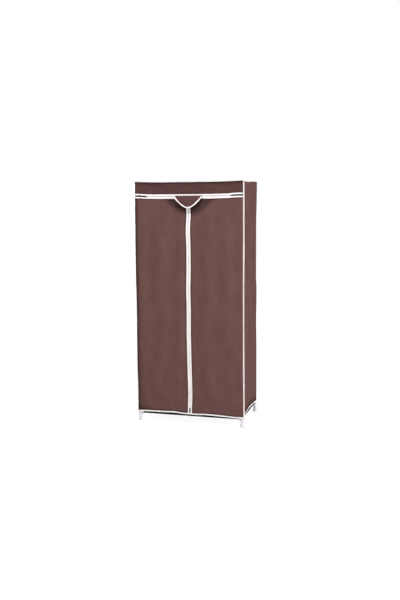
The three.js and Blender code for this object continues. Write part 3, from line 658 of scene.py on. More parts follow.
@dataclass(frozen=True)
class PaintedSteel(Look):
    """Enamelled steel with a faint orange-peel skin and fine scuffs in its second tone."""

    roughness: float
    gloss: float
    peel_scale: float = 420
    scratch_scale: float = 260

    def material(self) -> Material:
        """Builds the material."""
        recipe = Recipe(self.name)
        place = recipe.object_place()
        scratches = recipe.noise(recipe.stretched(place, 1, 1, 0.12), self.scratch_scale, 4)
        scuffed = recipe.ramp(scratches, 0.66, 0.8)
        colour = recipe.mix(recipe.maths("MULTIPLY", scuffed, 0.6), self.light, self.dark)
        matt = recipe.maths("MULTIPLY_ADD", scuffed, 0.2, self.roughness)
        recipe.relief(recipe.noise(place, self.peel_scale), 0.0001, 0.2)
        return recipe.dress(Base_Color=colour, Roughness=matt, Specular_IOR_Level=self.gloss)


@dataclass(frozen=True)
class Nylon(Look):
    """Smooth nylon of a zip coil, with a slight change of tone from loop to loop."""

    roughness: float = 0.38
    tone_scale: float = 700
    skin_scale: float = 3000

    def material(self) -> Material:
        """Builds the material."""
        recipe = Recipe(self.name)
        place = recipe.object_place()
        colour = recipe.mix(recipe.noise(place, self.tone_scale, 1), self.dark, self.light)
        recipe.relief(recipe.noise(place, self.skin_scale, 1), 0.00005, 0.2)
        return recipe.dress(Base_Color=colour, Roughness=self.roughness, Specular_IOR_Level=0.5)


def colour(*levels: int) -> Colour:
    """A colour written as it shows on a screen, turned into light.

    Args:
        levels: The red, green and blue, from 0 to 255.

    Returns:
        The linear colour with full cover.
    """
    linear = []
    for level in levels:
        share = level / 255
        linear.append(share / 12.92 if share <= 0.04045 else ((share + 0.055) / 1.055) ** 2.4)
    return (*linear, 1.0)


class Finish(Enum):
    """Each finish on the wardrobe, with the record's slot that it stands for."""

    BROWN = (
        NonWovenCloth(
            "brown_non_woven", colour(110, 80, 77), colour(101, 72, 69), colour(58, 42, 40)
        ),
        "brown_cloth",
    )
    BLACK = (
        NonWovenCloth(
            "black_non_woven", colour(48, 45, 46), colour(38, 35, 36), colour(28, 26, 27)
        ),
        "black_cloth",
    )
    TAPE = (
        RibbedTape("white_binding", colour(254, 248, 247), colour(244, 235, 233)),
        "white_tape",
    )
    # A dimmer, pinker copy of the white binding: painted shade on the right corner seam
    SEAM_TAPE = (
        RibbedTape("pink_white_binding", colour(255, 240, 237), colour(250, 230, 226)),
        "white_tape",
    )
    ZIP_TAPE = (
        RibbedTape(
            "white_zip_tape", colour(253, 246, 245), colour(243, 234, 232), 0.0006, 0.0005
        ),
        "white_tape",
    )
    THREAD = (Thread("white_thread", colour(250, 245, 243), colour(222, 210, 207)), "white_tape")
    PLASTIC = (
        MouldedPlastic("white_moulded_plastic", colour(232, 230, 236), colour(218, 217, 226)),
        "white_plastic",
    )
    TUBE = (
        PaintedSteel("black_enamelled_tube", colour(27, 26, 28), colour(44, 42, 43), 0.7, 0.08),
        "enamelled_tube",
    )
    ENAMEL = (
        PaintedSteel("white_enamel", colour(243, 237, 235), colour(186, 182, 180), 0.3, 0.3),
        "white_enamel",
    )
    COIL = (Nylon("white_zip_coil", colour(251, 246, 245), colour(228, 219, 218)), "white_tape")
    STOP = (Nylon("dark_zip_stop", colour(70, 58, 57), colour(48, 40, 40), 0.5), "white_tape")

    def __init__(self, look: Look, slot: str) -> None:
        """Names the two parts of a finish."""
        self.look = look
        self.slot = slot


# Node trees for what repeats


class Pattern(Nodes):
    """A tree of geometry nodes with named inputs, run once on a path and kept as a plain mesh."""

    def __init__(self, name: str, inputs: dict[str, tuple[str, object]]) -> None:
        """Starts a tree.

        Args:
            name: The tree's name.
            inputs: The kind of socket and the first value of each named input.
        """
        super().__init__(bpy.data.node_groups.new(name, "GeometryNodeTree"))
        interface = self.tree.interface
        interface.new_socket("Geometry", in_out="INPUT", socket_type="NodeSocketGeometry")
        self.sockets: dict[str, str] = {}
        for label, (kind, value) in inputs.items():
            socket = interface.new_socket(label, in_out="INPUT", socket_type=kind)
            if value is not None:
                socket.default_value = value
            self.sockets[label] = socket.identifier
        interface.new_socket("Geometry", in_out="OUTPUT", socket_type="NodeSocketGeometry")
        self.entry = self.tree.nodes.new("NodeGroupInput")
        self.exit = self.tree.nodes.new("NodeGroupOutput")

    def given(self, label: str) -> NodeSocket:
        """The tree's own input of that name."""
        return self.entry.outputs[label]

    def end_with(self, geometry: Node) -> None:
        """Realises the copies, gives them the finish and closes the tree."""
        real = self.node("GeometryNodeRealizeInstances", {"Geometry": geometry})
        smooth = self.node("GeometryNodeSetShadeSmooth", {"Geometry": real})
        feeds = {"Geometry": smooth, "Material": self.given("Finish")}
        self.feed(self.exit.inputs[0], self.node("GeometryNodeSetMaterial", feeds))

    def run(self, path: Mesh, values: dict[str, object]) -> Mesh:
        """Runs the tree on a path.

        Args:
            path: The path, as a mesh of points and edges.
            values: The value of each named input.

        Returns:
            The plain mesh.
        """
        carrier = link_object("path", path)
        modifier = carrier.modifiers.new(self.tree.name, "NODES")
        modifier.node_group = self.tree
        for label, value in values.items():
            modifier[self.sockets[label]] = value
        mesh = evaluated_mesh(carrier)
        bpy.data.meshes.remove(path)
        return mesh


@dataclass(frozen=True)
class Bead:
    """How far apart a row's beads stand, their length, width and height, and how they lean."""

    spacing: float
    size: Point
    slant: float = 0.0


STITCH = Bead(0.0036, (0.0027, 0.0006, 0.0005))
FLAP_STITCH = Bead(0.0034, (0.0026, 0.0006, 0.0005))
COIL_LOOP = Bead(0.0019, (0.0015, 0.0036, 0.0022), math.radians(7))


class Row(Pattern):
    """Copies of one rounded bead along a path, lengthways, with their backs to the cloth."""

    def __init__(self) -> None:
        """Builds the tree."""
        super().__init__(
            "row_of_beads",
            {
                "Spacing": ("NodeSocketFloat", STITCH.spacing),
                "Size": ("NodeSocketVector", STITCH.size),
                "Slant": ("NodeSocketFloat", STITCH.slant),
                "Facing": ("NodeSocketVector", (0.0, -1.0, 0.0)),
                "Finish": ("NodeSocketMaterial", None),
            },
        )
        line = self.node("GeometryNodeMeshToCurve", {"Mesh": self.given("Geometry")})
        feeds = {"Curve": line, "Length": self.given("Spacing")}
        spots = self.node("GeometryNodeCurveToPoints", feeds, mode="LENGTH")
        align = "FunctionNodeAlignRotationToVector"
        along = self.node(align, {"Vector": spots.outputs["Tangent"]}, axis="X")
        feeds = {"Rotation": along, "Vector": self.given("Facing")}
        facing = self.node(align, feeds, axis="Z", pivot_axis="X")
        bead = self.node("GeometryNodeMeshUVSphere", {"Segments": 8, "Rings": 5, "Radius": 0.5})
        slant = self.node("ShaderNodeCombineXYZ", {"Z": self.given("Slant")})
        change = "GeometryNodeTransform"
        sized = self.node(change, {"Geometry": bead, "Scale": self.given("Size")})
        leant = self.node(change, {"Geometry": sized, "Rotation": slant})
        feeds = {"Points": spots, "Instance": leant, "Rotation": facing}
        self.end_with(self.node("GeometryNodeInstanceOnPoints", feeds))


class TubeRun(Pattern):
    """A straight hollow tube with rounded lips, about the middle of the Z axis."""

    def __init__(self) -> None:
        """Builds the tree."""
        super().__init__(
            "tube_run",
            {
                "Length": ("NodeSocketFloat", 1.0),
                "Radius": ("NodeSocketFloat", 0.008),
                "Wall": ("NodeSocketFloat", 0.0008),
                "Finish": ("NodeSocketMaterial", None),
            },
        )
        wall = self.given("Wall")
        half = self.maths("MULTIPLY", wall, 0.5)
        middle = self.maths("SUBTRACT", self.given("Radius"), half)
        lip = self.maths("MULTIPLY", half, 0.8)
        circle = self.node(
            "GeometryNodeCurvePrimitiveCircle", {"Resolution": 32, "Radius": middle}
        )
        feeds = {"Width": wall, "Height": self.given("Length")}
        section = self.node("GeometryNodeCurvePrimitiveQuadrilateral", feeds)
        feeds = {"Curve": section, "Count": 2, "Radius": lip}
        rounded = self.node("GeometryNodeFilletCurve", feeds, mode="POLY")
        feeds = {"Curve": circle, "Profile Curve": rounded}
        self.end_with(self.node("GeometryNodeCurveToMesh", feeds))


@dataclass
class Workshop:
    """What every sub-assembly is made with: the materials, the node trees and the pieces made."""

    row: Row = field(default_factory=Row)
    tube_run: TubeRun = field(default_factory=TubeRun)
    materials: dict[Finish, Material] = field(
        default_factory=lambda: {finish: finish.look.material() for finish in Finish}
    )
    made: list[str] = field(default_factory=list)

    def piece(
        self,
        name: str,
        mesh: Mesh,
        finish: Finish,
        replaces: Iterable[str] = (),
        body: str | None = FRAME_BODY,
    ) -> Object:
        """Puts a finished mesh in the scene as a piece.

        Args:
            name: The piece's name.
            mesh: Its mesh.
            finish: Its finish.
            replaces: The CAD nodes that it stands for.
            body: The body that it rides on, or None to leave it unattached.

        Returns:
            The piece.
        """
        mesh.name = name
        mesh.materials.clear()
        mesh.materials.append(self.materials[finish])
        made = link_object(name, mesh)
        nodes = tuple(replaces)
        if nodes:
            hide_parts(*nodes)
        if body:
            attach(made, body)
        self.made.append(name)
        log.info("%s: %d faces", name, len(mesh.polygons))
        return made

    def beads(self, bead: Bead, finish: Finish, lines: Sequence[Line]) -> Mesh:
        """Sets rows of beads along lines.

        Args:
            bead: The beads' sizes.
            finish: Their finish.
            lines: The points of each line, and the way that its beads face.

        Returns:
            The rows as one mesh.
        """
        values = {
            "Spacing": bead.spacing,
            "Size": bead.size,
            "Slant": bead.slant,
            "Finish": self.materials[finish],
        }
        rows = [
            self.row.run(path_mesh(points), {**values, "Facing": facing})
            for points, facing in lines
        ]
        return joined_mesh(rows)


# How the cloth hangs


@dataclass(frozen=True)
class Crease:
    """A soft fold on a panel: a ridge, or with a height below zero a valley."""

    start: Pair
    end: Pair
    width: float
    height: float

    def mirrored(self, width: float) -> "Crease":
        """The same fold on a panel of that width, turned left to right."""
        start, end = ((width - across, up) for across, up in (self.start, self.end))
        return Crease(start, end, self.width, self.height)

    def lift(self, across: Array, up: Array) -> Array:
        """How far the fold lifts each place of the panel, in metres."""
        run = np.subtract(self.end, self.start)
        share = ((across - self.start[0]) * run[0] + (up - self.start[1]) * run[1]) / (run @ run)
        share = np.clip(share, 0, 1)
        off_x = across - self.start[0] - share * run[0]
        off_y = up - self.start[1] - share * run[1]
        taper = np.sin(np.pi * share) ** 0.75
        return self.height * taper * np.exp(-(off_x**2 + off_y**2) / self.width**2)


# The share of the height, the two slopes and the start of each wave of slack cloth
RIPPLES = ((1.0, 0.9, 0.31, 1.3), (0.7, 1.7, -0.23, 0.4), (0.5, 0.4, 0.9, 2.6))


def ripple(across: Array, up: Array, height: float, length: float) -> Array:
    """Small uneven waves in slack cloth, the same on every run.

    Args:
        across: The places across the panel, in metres.
        up: The places up the panel, in metres.
        height: The waves' height in metres.
        length: Their length in metres.

    Returns:
        The lift in metres.
    """
    waves = sum(
        share * np.sin(TURN / length * (right * across + rise * up) + start)
        for share, right, rise, start in RIPPLES
    )
    return height * waves / sum(wave[0] for wave in RIPPLES)


@dataclass(frozen=True)
class Folds:
    """Broad folds, small ripples and creases of a panel, level at its four edges."""

    width: float
    height: float
    rest: float
    swing: float
    count: float
    lean: float
    slack: float
    slack_length: float = 0.21
    creases: tuple[Crease, ...] = ()

    def lift(self, across: Array, up: Array) -> Array:
        """How far the folds lift each place of the panel, in metres."""
        a, b = across / self.width, up / self.height
        lift = self.rest + self.swing * np.cos(TURN * (self.count * a + self.lean * b))
        lift = lift + ripple(across, up, self.slack, self.slack_length)
        lift = lift + sum(crease.lift(across, up) for crease in self.creases)
        return swell(a) * swell(b) * lift


@dataclass(frozen=True)
class Drape:
    """How the hanging cover strays from its true lines.

    Each table holds places and the offsets there, in metres.
    """

    zip_sway: Table = (
        (
            0.064, 0.112, 0.16, 0.229, 0.364, 0.498, 0.632,
            0.765, 0.897, 1.027, 1.157, 1.286, 1.382, 1.44,
        ),
        (
            0, 0.0006, 0.003, 0.0044, 0.0012, -0.0013, -0.0029,
            -0.0015, -0.0036, -0.0002, 0, -0.0029, 0.0024, 0,
        ),
    )
    sway_reach: float = 0.11
    front_hem: Table = (
        (-0.361, -0.33, -0.30, -0.20, -0.11, -0.03, 0.04, 0.11, 0.18, 0.245, 0.31, 0.361),
        (
            0.001, 0.003, 0.0048, 0.0060, 0.0081, 0.0030,
            0.0024, 0.0054, 0.0041, 0.0018, -0.0016, 0.0005,
        ),
    )
    side_hem: Table = (
        (-0.218, -0.19, -0.155, -0.11, -0.04, 0.03, 0.12, 0.18, 0.218),
        (0.004, 0.0105, 0.0150, 0.0178, 0.0198, 0.0184, 0.0138, 0.0090, 0.0060),
    )
    back_hem: float = 0.006
    band: Table = (
        (-0.361, -0.337, -0.28, -0.22, 0.13, 0.20, 0.255, 0.31, 0.361),
        (0.0050, 0.0046, 0.0015, 0.0, 0.0, 0.0010, 0.0024, 0.0066, 0.0070),
    )
    left_seam: Table = (
        (0.064, 0.12, 0.24, 0.36, 0.5, 0.765, 1.03, 1.38, 1.56),
        (0.0008, 0.0015, 0.0010, 0.0036, 0.0030, 0.0014, 0.0036, 0.0020, 0.0),
    )
    right_seam: Table = (
        (0.064, 0.13, 0.25, 0.42, 0.9, 1.3),
        (0.0024, 0.0024, 0.0012, 0.0, -0.0008, 0.0),
    )
    rear_corner: Table = (
        (0.45, 0.66, 0.79, 0.87, 0.96, 1.30, 1.50, 1.57),
        (0.0, 0.0028, 0.0012, 0.0012, 0.0046, 0.0046, 0.0012, 0.0),
    )
    front_reach: float = 0.0145
    side_reach: float = 0.016
    hem_fade: Pair = (0.078, 0.38)
    band_rise: Pair = (1.40, 1.485)
    band_fade: Pair = (1.522, 1.585)
    outer_start: float = 0.24
    ahead_end: float = 0.02

    def hang(self, points: Array) -> Array:
        """Moves points of the cover to where the cloth really hangs.

        Args:
            points: Points on the true lines, as rows of three numbers.

        Returns:
            The moved points.
        """
        moved = np.array(points, float)
        x, y, z = (moved[..., axis].copy() for axis in range(3))
        front = y < SIZES.front + self.front_reach
        side = ~front & (np.abs(x) > SIZES.half_width - self.side_reach)
        across = np.clip((x + SIZES.half_width) / (2 * SIZES.half_width), 0, 1)
        back = self.back_hem * np.sin(np.pi * across) ** 1.5
        behind_front = np.where(side, eased_table(y, self.side_hem), back)
        lift = np.where(front, eased_table(x, self.front_hem), behind_front)
        lift = lift * fade(z, *self.hem_fade)
        level = smooth_step(z, *self.band_rise) * fade(z, *self.band_fade)
        moved[..., 2] = z + lift + np.where(front, level * eased_table(x, self.band), 0)
        sway = eased_table(z, self.zip_sway) * np.exp(-((x / self.sway_reach) ** 2))
        outer = smooth_step(np.abs(x), self.outer_start, SIZES.half_width)
        seam = np.where(x < 0, -eased_table(z, self.left_seam), eased_table(z, self.right_seam))
        ahead = fade(y, SIZES.front, self.ahead_end)
        behind = smooth_step(y, self.ahead_end, SIZES.half_depth)
        pulled = -np.sign(x) * eased_table(z, self.rear_corner)
        moved[..., 0] = x + np.where(front, sway, 0) + outer * (ahead * seam + behind * pulled)
        return moved


DRAPE = Drape()


# Tapes that follow an edge


@dataclass(frozen=True)
class EdgePath:
    """A path with square or slanting corners in one plane, along which a tape is folded."""

    corners: tuple[Point, ...]
    outward: Point = (0, -1, 0)
    step: float = 0.012

    def frames(self) -> tuple[Array, Array, Array]:
        """Walks the path.

        Returns:
            The stations, the direction into the cloth at each, with its length set for a mitre,
            and the distance walked.
        """
        corners = np.asarray(self.corners, float)
        legs = np.diff(corners, axis=0)
        lengths = np.linalg.norm(legs, axis=1)
        legs = legs / lengths[:, None]
        inward = np.cross(np.asarray(self.outward, float), legs)
        stations, directions, walked = [], [], []
        travelled = 0.0
        for number, (leg, length) in enumerate(zip(legs, lengths)):
            count = max(2, round(length / self.step))
            for place in range(count):
                stations.append(corners[number] + leg * length * place / count)
                directions.append(inward[number])
                walked.append(travelled + length * place / count)
            if number:
                directions[-count] = self.mitre(inward[number - 1], inward[number])
            travelled += length
        stations.append(corners[-1])
        directions.append(inward[-1])
        walked.append(travelled)
        return np.array(stations), np.array(directions), np.array(walked)

    @staticmethod
    def mitre(before: Array, after: Array) -> Array:
        """The direction into the cloth at a corner, long enough to reach both inner edges."""
        middle = before + after
        return middle * 2 / (middle @ middle)


@dataclass(frozen=True)
class FoldedTape:
    """Binding tape folded over a raw edge of cloth and stitched through."""

    width: float
    stitch_inset: float = 0.0017
    layer: float = 0.0006
    ease: float = 0.0002
    pucker: float = 0.00022
    pucker_length: float = 0.019

    def section(self) -> Array:
        """The tape's cross-section: how far into the cloth, and how far out from its face."""
        width, ease, layer = self.width, self.ease, self.layer
        middle = -SIZES.cloth / 2
        back = -SIZES.cloth - ease
        outer = [
            (width, ease + 0.55 * layer),
            (width - self.stitch_inset, ease + 0.6 * layer),
            (0.62 * width, ease + 1.5 * layer),
            (0.3 * width, ease + 1.6 * layer),
            (0.1 * width, ease + 1.3 * layer),
            (0.02 * width, ease + 0.5 * layer),
        ]
        mirrored = [(inward, back - (out - ease)) for inward, out in outer[::-1]]
        turn = 1.6 * layer
        inner = [(width, back), (turn, back), (layer, middle), (turn, ease), (width, ease)]
        return np.array([*outer, (-0.01 * width, middle), *mirrored, *inner])

    def stitch_places(self) -> Array:
        """Where the stitches lie in the cross-section, on the face and on the back."""
        inset = self.width - self.stitch_inset
        out = self.ease + 0.75 * self.layer
        return np.array([(inset, out), (inset, -SIZES.cloth - out)])

    def along(self, path: EdgePath) -> Mesh:
        """Folds the tape along a path."""
        stations, directions, walked = path.frames()
        section = self.section()
        wave = self.pucker * np.sin(TURN * walked / self.pucker_length)
        out = section[:, 1]
        swelling = np.sign(out) * np.clip(np.abs(out) / (3 * self.layer), 0, 1)
        rings = swept(stations, section, directions, path.outward)
        rings = rings + (wave[:, None] * swelling)[..., None] * np.asarray(path.outward, float)
        return strip_mesh(DRAPE.hang(rings), walked, section)

    def seam(self, path: EdgePath) -> list[Line]:
        """The lines of stitches along the tape's inner edge, on both faces."""
        stations, directions, _ = path.frames()
        rows = swept(stations, self.stitch_places(), directions, path.outward)
        outward = Vector(path.outward)
        return [(DRAPE.hang(rows[:, 0]), outward), (DRAPE.hang(rows[:, 1]), -outward)]

    def bind(
        self,
        shop: Workshop,
        label: str,
        paths: Sequence[EdgePath],
        node: str,
        body: str | None = FRAME_BODY,
    ) -> list[Object]:
        """Binds edges with the tape and sews it on.

        Args:
            shop: What the pieces are made with.
            label: The first words of the pieces' names.
            paths: The edges.
            node: The CAD node that the tape stands for.
            body: The body that the pieces ride on, or None to leave them unattached.

        Returns:
            The tape and its stitches.
        """
        tape = joined_mesh([self.along(path) for path in paths])
        seams = [line for path in paths for line in self.seam(path)]
        stitches = shop.beads(STITCH, Finish.THREAD, seams)
        return [
            shop.piece(f"{label}_edge_tape", tape, Finish.TAPE, [node], body),
            shop.piece(f"{label}_stitches", stitches, Finish.THREAD, body=body),
        ]


@dataclass(frozen=True)
class DoubleStrip:
    """A darker strip, for cloth lying double and for painted shade: how dark it shows, and from
    where to where it fades.
    """

    share: float
    low: float
    high: float

    def shade(self, distance: Array) -> Array:
        """How dark the strip shows at each distance from its edge."""
        return self.share * fade(distance, self.low, self.high)


@dataclass
class Panel:
    """An upright panel of the cover's cloth."""

    origin: Point
    across: Point
    width: float
    height: float
    folds: Spread
    columns: int
    rows: int
    doubled: Spread
    top_drop: Callable[[Array], Array] = np.zeros_like

    def mesh(self) -> Mesh:
        """The panel hung as the cover hangs."""
        shares_x, shares_y = np.meshgrid(
            np.linspace(0, 1, self.columns), np.linspace(0, 1, self.rows)
        )
        x, z = shares_x * self.width, shares_y * self.height
        up = np.array(UP)
        climb = z - self.top_drop(shares_x) * shares_y
        points = np.array(self.origin) + x[..., None] * self.across + climb[..., None] * up
        points = points + self.folds(x, z)[..., None] * np.cross(self.across, up)
        return cloth_mesh(DRAPE.hang(points), np.stack([x, z], axis=2), self.doubled(x, z))


# Cover


@dataclass
class Cover:
    """The roof, back, sides and header, with the bindings of the hem and of the header."""

    shop: Workshop
    tape: FoldedTape = FoldedTape(SIZES.hem_binding)
    width: float = 2 * (SIZES.half_width - SIZES.end_inset)
    depth: float = 2 * SIZES.half_depth
    low: float = SIZES.hem + SIZES.raw_inset
    height: float = SIZES.height - SIZES.hem - 2 * SIZES.raw_inset
    header_height: float = SIZES.height - SIZES.header_low - 2 * SIZES.raw_inset
    turned_in: float = 0.01
    # Darker beside the upright seams: the seam allowance lying double, and painted shade where the
    # cloth rounds into the seam
    corner_seam: DoubleStrip = DoubleStrip(0.8, 0.00605, 0.011)
    # A darker band above each side hem: the turned-up hem lying double, and painted shade
    side_hem: DoubleStrip = DoubleStrip(0.75, 0.018, 0.06)
    # The whole header shows darker than the doors; painted shade deepens it under its top edge
    header_shade: float = 0.48
    header_top: DoubleStrip = DoubleStrip(0.2, 0.0, 0.035)
    roof_wrinkle: Pair = (0.0009, 0.16)
    roof_grid: tuple[int, int] = (110, 66)
    header_slack: float = 0.0004
    header_rise: float = 0.12
    tape_end: float = 0.0014
    hem_start: float = 0.0018
    hem_gap: float = 0.001
    side_creases: tuple[Crease, ...] = (
        Crease((0.43, 1.52), (0.24, 1.38), 0.034, -0.0120),
        Crease((0.40, 1.42), (0.27, 1.12), 0.046, 0.0110),
        Crease((0.12, 1.50), (0.13, 1.02), 0.038, -0.0080),
        Crease((0.33, 1.12), (0.18, 0.74), 0.052, 0.0100),
        Crease((0.14, 0.95), (0.24, 0.52), 0.046, -0.0085),
        Crease((0.36, 0.64), (0.26, 0.26), 0.046, 0.0100),
        Crease((0.11, 0.46), (0.18, 0.14), 0.040, -0.0080),
        Crease((0.37, 0.34), (0.38, 0.06), 0.030, -0.0070),
    )
    header_creases: tuple[Crease, ...] = (
        Crease((0.03, 0.012), (0.6894, 0.014), 0.0045, -0.0020),
        Crease((0.06, 0.070), (0.24, 0.034), 0.014, -0.0030),
        Crease((0.15, 0.080), (0.33, 0.056), 0.010, 0.0022),
        Crease((0.28, 0.026), (0.40, 0.060), 0.012, -0.0022),
        Crease((0.41, 0.082), (0.50, 0.030), 0.012, 0.0024),
        Crease((0.50, 0.074), (0.66, 0.044), 0.011, -0.0028),
        Crease((0.69, 0.084), (0.62, 0.024), 0.009, 0.0018),
    )

    def seams(self, across: Array, width: float) -> Array:
        """How dark a panel shows along its two upright seams: the cloth lying double, and painted
        shade beside the seam.
        """
        return self.corner_seam.shade(np.minimum(across, width - across))

    def cut(self, panel: Panel, name: str, node: str, rail: str) -> None:
        """Makes a panel that hangs from one top rail.

        Args:
            panel: The panel.
            name: The piece's name.
            node: The CAD node that it stands for.
            rail: The rail; not used.
        """
        made = self.shop.piece(name, panel.mesh(), Finish.BROWN, [node])

    def side(self, side: Side) -> None:
        """Makes one side panel."""
        sign, label = side.value, side.label
        right = side is Side.RIGHT
        creases = self.side_creases
        if not right:
            creases = tuple(crease.mirrored(self.depth) for crease in creases)
        folds = Folds(
            self.depth,
            self.height,
            rest=0.0036,
            swing=0.0034,
            count=1.4,
            lean=0.9,
            slack=0.0009,
            creases=creases,
        )
        panel = Panel(
            origin=(sign * SIZES.half_width, -sign * SIZES.half_depth, self.low),
            across=(0, sign, 0),
            width=self.depth,
            height=self.height,
            folds=folds.lift,
            top_drop=lambda share: SIZES.side_drop(share if right else 1 - share),
            columns=90,
            rows=230,
            # Darker beside the seams, and the painted shade band above the hem
            doubled=lambda across, up: np.maximum(
                self.seams(across, self.depth), self.side_hem.shade(up)
            ),
        )
        self.cut(panel, f"{label}_side_cloth", f"cover_{label}_side", f"top_rail_{label}")

    def back(self) -> None:
        """Makes the back panel."""
        size = self.width, self.height
        folds = Folds(*size, rest=0.0028, swing=0.0024, count=2, lean=0.2, slack=0.0012)
        panel = Panel(
            origin=(self.width / 2, SIZES.half_depth, self.low),
            across=(-1, 0, 0),
            width=self.width,
            height=self.height,
            folds=folds.lift,
            top_drop=SIZES.top_drop,
            columns=90,
            rows=150,
            doubled=lambda across, up: self.seams(across, self.width),
        )
        self.cut(panel, "back_cloth", "cover_back", "top_rail_rear")

    def roof(self) -> None:
        """Makes the roof, which hollows between the top rails."""
        a, b = np.meshgrid(*(np.linspace(0, 1, count) for count in self.roof_grid))
        ends, sides = SIZES.top_drop(a), SIZES.side_drop(b)
        edge = ends + sides - ends * sides / SIZES.side_sag
        hollow = (np.sin(np.pi * a) * np.sin(np.pi * b)) ** 2
        width, depth = 2 * SIZES.half_width, 2 * SIZES.half_depth
        x, y = width * (a - 0.5), depth * (b - 0.5)
        wrinkle = ripple(x, y, *self.roof_wrinkle) * swell(a) * swell(b)
        z = SIZES.height - edge - SIZES.roof_sag * hollow + wrinkle
        shade = self.seams(x + SIZES.half_width, width)
        mesh = cloth_mesh(np.stack([x, y, z], axis=2), np.stack([x, y], axis=2), shade)
        made = self.shop.piece("roof_cloth", mesh, Finish.BROWN, ["cover_roof"])

    def header_folds(self, across: Array, up: Array) -> Array:
        """How far the header stands out: drag lines that stay under its tape."""
        size = self.width, self.header_height
        folds = Folds(*size, rest=0.0008, swing=0.0006, count=3, lean=0, slack=0.0006)
        lift = folds.lift(across, up)
        lift = lift + sum(crease.lift(across, up) for crease in self.header_creases)
        over_tape = np.maximum(up - SIZES.hem_binding, 0)
        return np.minimum(lift, self.header_slack + self.header_rise * over_tape)

    def header(self) -> None:
        """Makes the header band with its bound lower edge."""
        height = self.header_height
        panel = Panel(
            origin=(-self.width / 2, SIZES.front, SIZES.header_low + SIZES.raw_inset),
            across=(1, 0, 0),
            width=self.width,
            height=height,
            folds=self.header_folds,
            top_drop=SIZES.top_drop,
            columns=200,
            rows=34,
            # Darker all over, with painted shade under the top edge
            doubled=lambda across, up: self.header_shade + self.header_top.shade(height - up),
        )
        made = self.shop.piece("header_cloth", panel.mesh(), Finish.BROWN, ["cover_header"])
        end = SIZES.half_width - self.tape_end
        path = EdgePath(tuple((x, SIZES.front, SIZES.header_low) for x in (-end, end)))
        bound = self.tape.bind(self.shop, "header", [path], "header_binding")

    def hem(self) -> None:
        """Makes the hem's binding along the left side, the back and the right side."""
        x, y, z = SIZES.half_width, SIZES.half_depth, SIZES.hem
        front, gap = SIZES.front + self.hem_start, self.hem_gap
        paths = [
            EdgePath(((-x, y - gap, z), (-x, front, z)), (-1, 0, 0)),
            EdgePath(((x - gap, y, z), (-x + gap, y, z)), (0, 1, 0)),
            EdgePath(((x, front, z), (x, y - gap, z)), (1, 0, 0)),
        ]
        self.tape.bind(self.shop, "hem", paths, "hem_binding")

    def build(self) -> None:
        """Makes every piece of the cover but its front."""
        self.roof()
        self.back()
        for side in Side:
            self.side(side)
        self.header()
        self.hem()


@dataclass
class StandingSeam:
    """A bound seam that stands off an edge of the cover like a thin fin."""

    shop: Workshop
    width: float = 0.010
    thickness: float = 0.0017
    root: float = 0.0004
    stitch: float = 0.0028
    corner_angle: float = math.radians(20)
    top_angle: float = math.radians(15)
    top_gap: float = 0.0012
    stitch_out: float = 0.36
    corner_stations: int = 150
    top_stations: int = 110
    top_wave: tuple[float, float, float] = (0.10, 15.0, 0.8)
    corner_waves: tuple[tuple[float, float, float], ...] = ((0.085, 7.3, 1), (0.045, 17.0, 2))
    phases: dict[Side, float] = field(default_factory=lambda: {Side.LEFT: 0.6, Side.RIGHT: 2.1})

    def section(self) -> Array:
        """The fin's cross-section: how far out, and how far to the side."""
        half = self.thickness / 2
        upper = [
            (self.root, 0.55 * half),
            (self.stitch, 0.62 * half),
            (0.4 * self.width, half),
            (0.8 * self.width, 1.05 * half),
            (0.96 * self.width, 0.8 * half),
            (self.width, 0.3 * half),
        ]
        return np.array([*upper, *((out, -side) for out, side in upper[::-1])])

    def add(self, name: str, finish: Finish, stations: Array, outward: Array, along: Point) -> None:
        """Makes one seam and its stitches as pieces of the cover.

        Args:
            name: The first words of the pieces' names.
            finish: The tape's finish.
            stations: The points of the seam.
            outward: The direction in which it stands off at each.
            along: The way that it runs.
        """
        sideways = np.cross(along, outward)
        section = self.section()
        rings = swept(stations, section, outward, sideways)
        tape = strip_mesh(rings, walked_along(stations), section)
        node = "front_seam_binding_" + name.removesuffix("_corner")
        self.shop.piece(f"{name}_seam_tape", tape, finish, [node])
        out = self.stitch_out * self.thickness
        sewn = np.array([(self.stitch, out), (self.stitch, -out)])
        rows = swept(stations, sewn, outward, sideways)
        facing = Vector(sideways.mean(axis=0)).normalized()
        stitches = self.shop.beads(
            STITCH, Finish.THREAD, [(rows[:, 0], facing), (rows[:, 1], -facing)]
        )
        self.shop.piece(f"{name}_seam_stitches", stitches, Finish.THREAD)

    def corner(self, side: Side) -> None:
        """Makes the seam down one front corner."""
        heights = np.linspace(SIZES.hem, SIZES.height - self.top_gap, self.corner_stations)
        phase = self.phases[side]
        angle = self.corner_angle + sum(
            share * np.sin(rate * heights + times * phase)
            for share, rate, times in self.corner_waves
        )
        level = np.zeros_like(angle)
        outward = np.stack([side.value * np.cos(angle), -np.sin(angle), level], axis=1)
        x, y = level + side.value * SIZES.half_width, level + SIZES.front
        stations = DRAPE.hang(np.stack([x, y, heights], axis=1))
        # The right corner seam takes the shaded copy of the binding: painted shade
        finish = Finish.SEAM_TAPE if side is Side.RIGHT else Finish.TAPE
        self.add(f"{side.label}_corner", finish, stations, outward, (0, 0, 1))

    def top(self) -> None:
        """Makes the seam along the top front edge."""
        shares = np.linspace(0, 1, self.top_stations)
        share, rate, phase = self.top_wave
        angle = self.top_angle + share * np.sin(rate * shares + phase)
        level = np.zeros_like(angle)
        outward = np.stack([level, -np.cos(angle), np.sin(angle)], axis=1)
        x, z = SIZES.half_width * (2 * shares - 1), SIZES.height - SIZES.top_drop(shares)
        stations = np.stack([x, level + SIZES.front, z], axis=1)
        self.add("top", Finish.TAPE, stations, outward, (1, 0, 0))

    def build(self) -> None:
        """Makes the two corner seams and the top one."""
        for side in Side:
            self.corner(side)
        self.top()


# Zips and doors


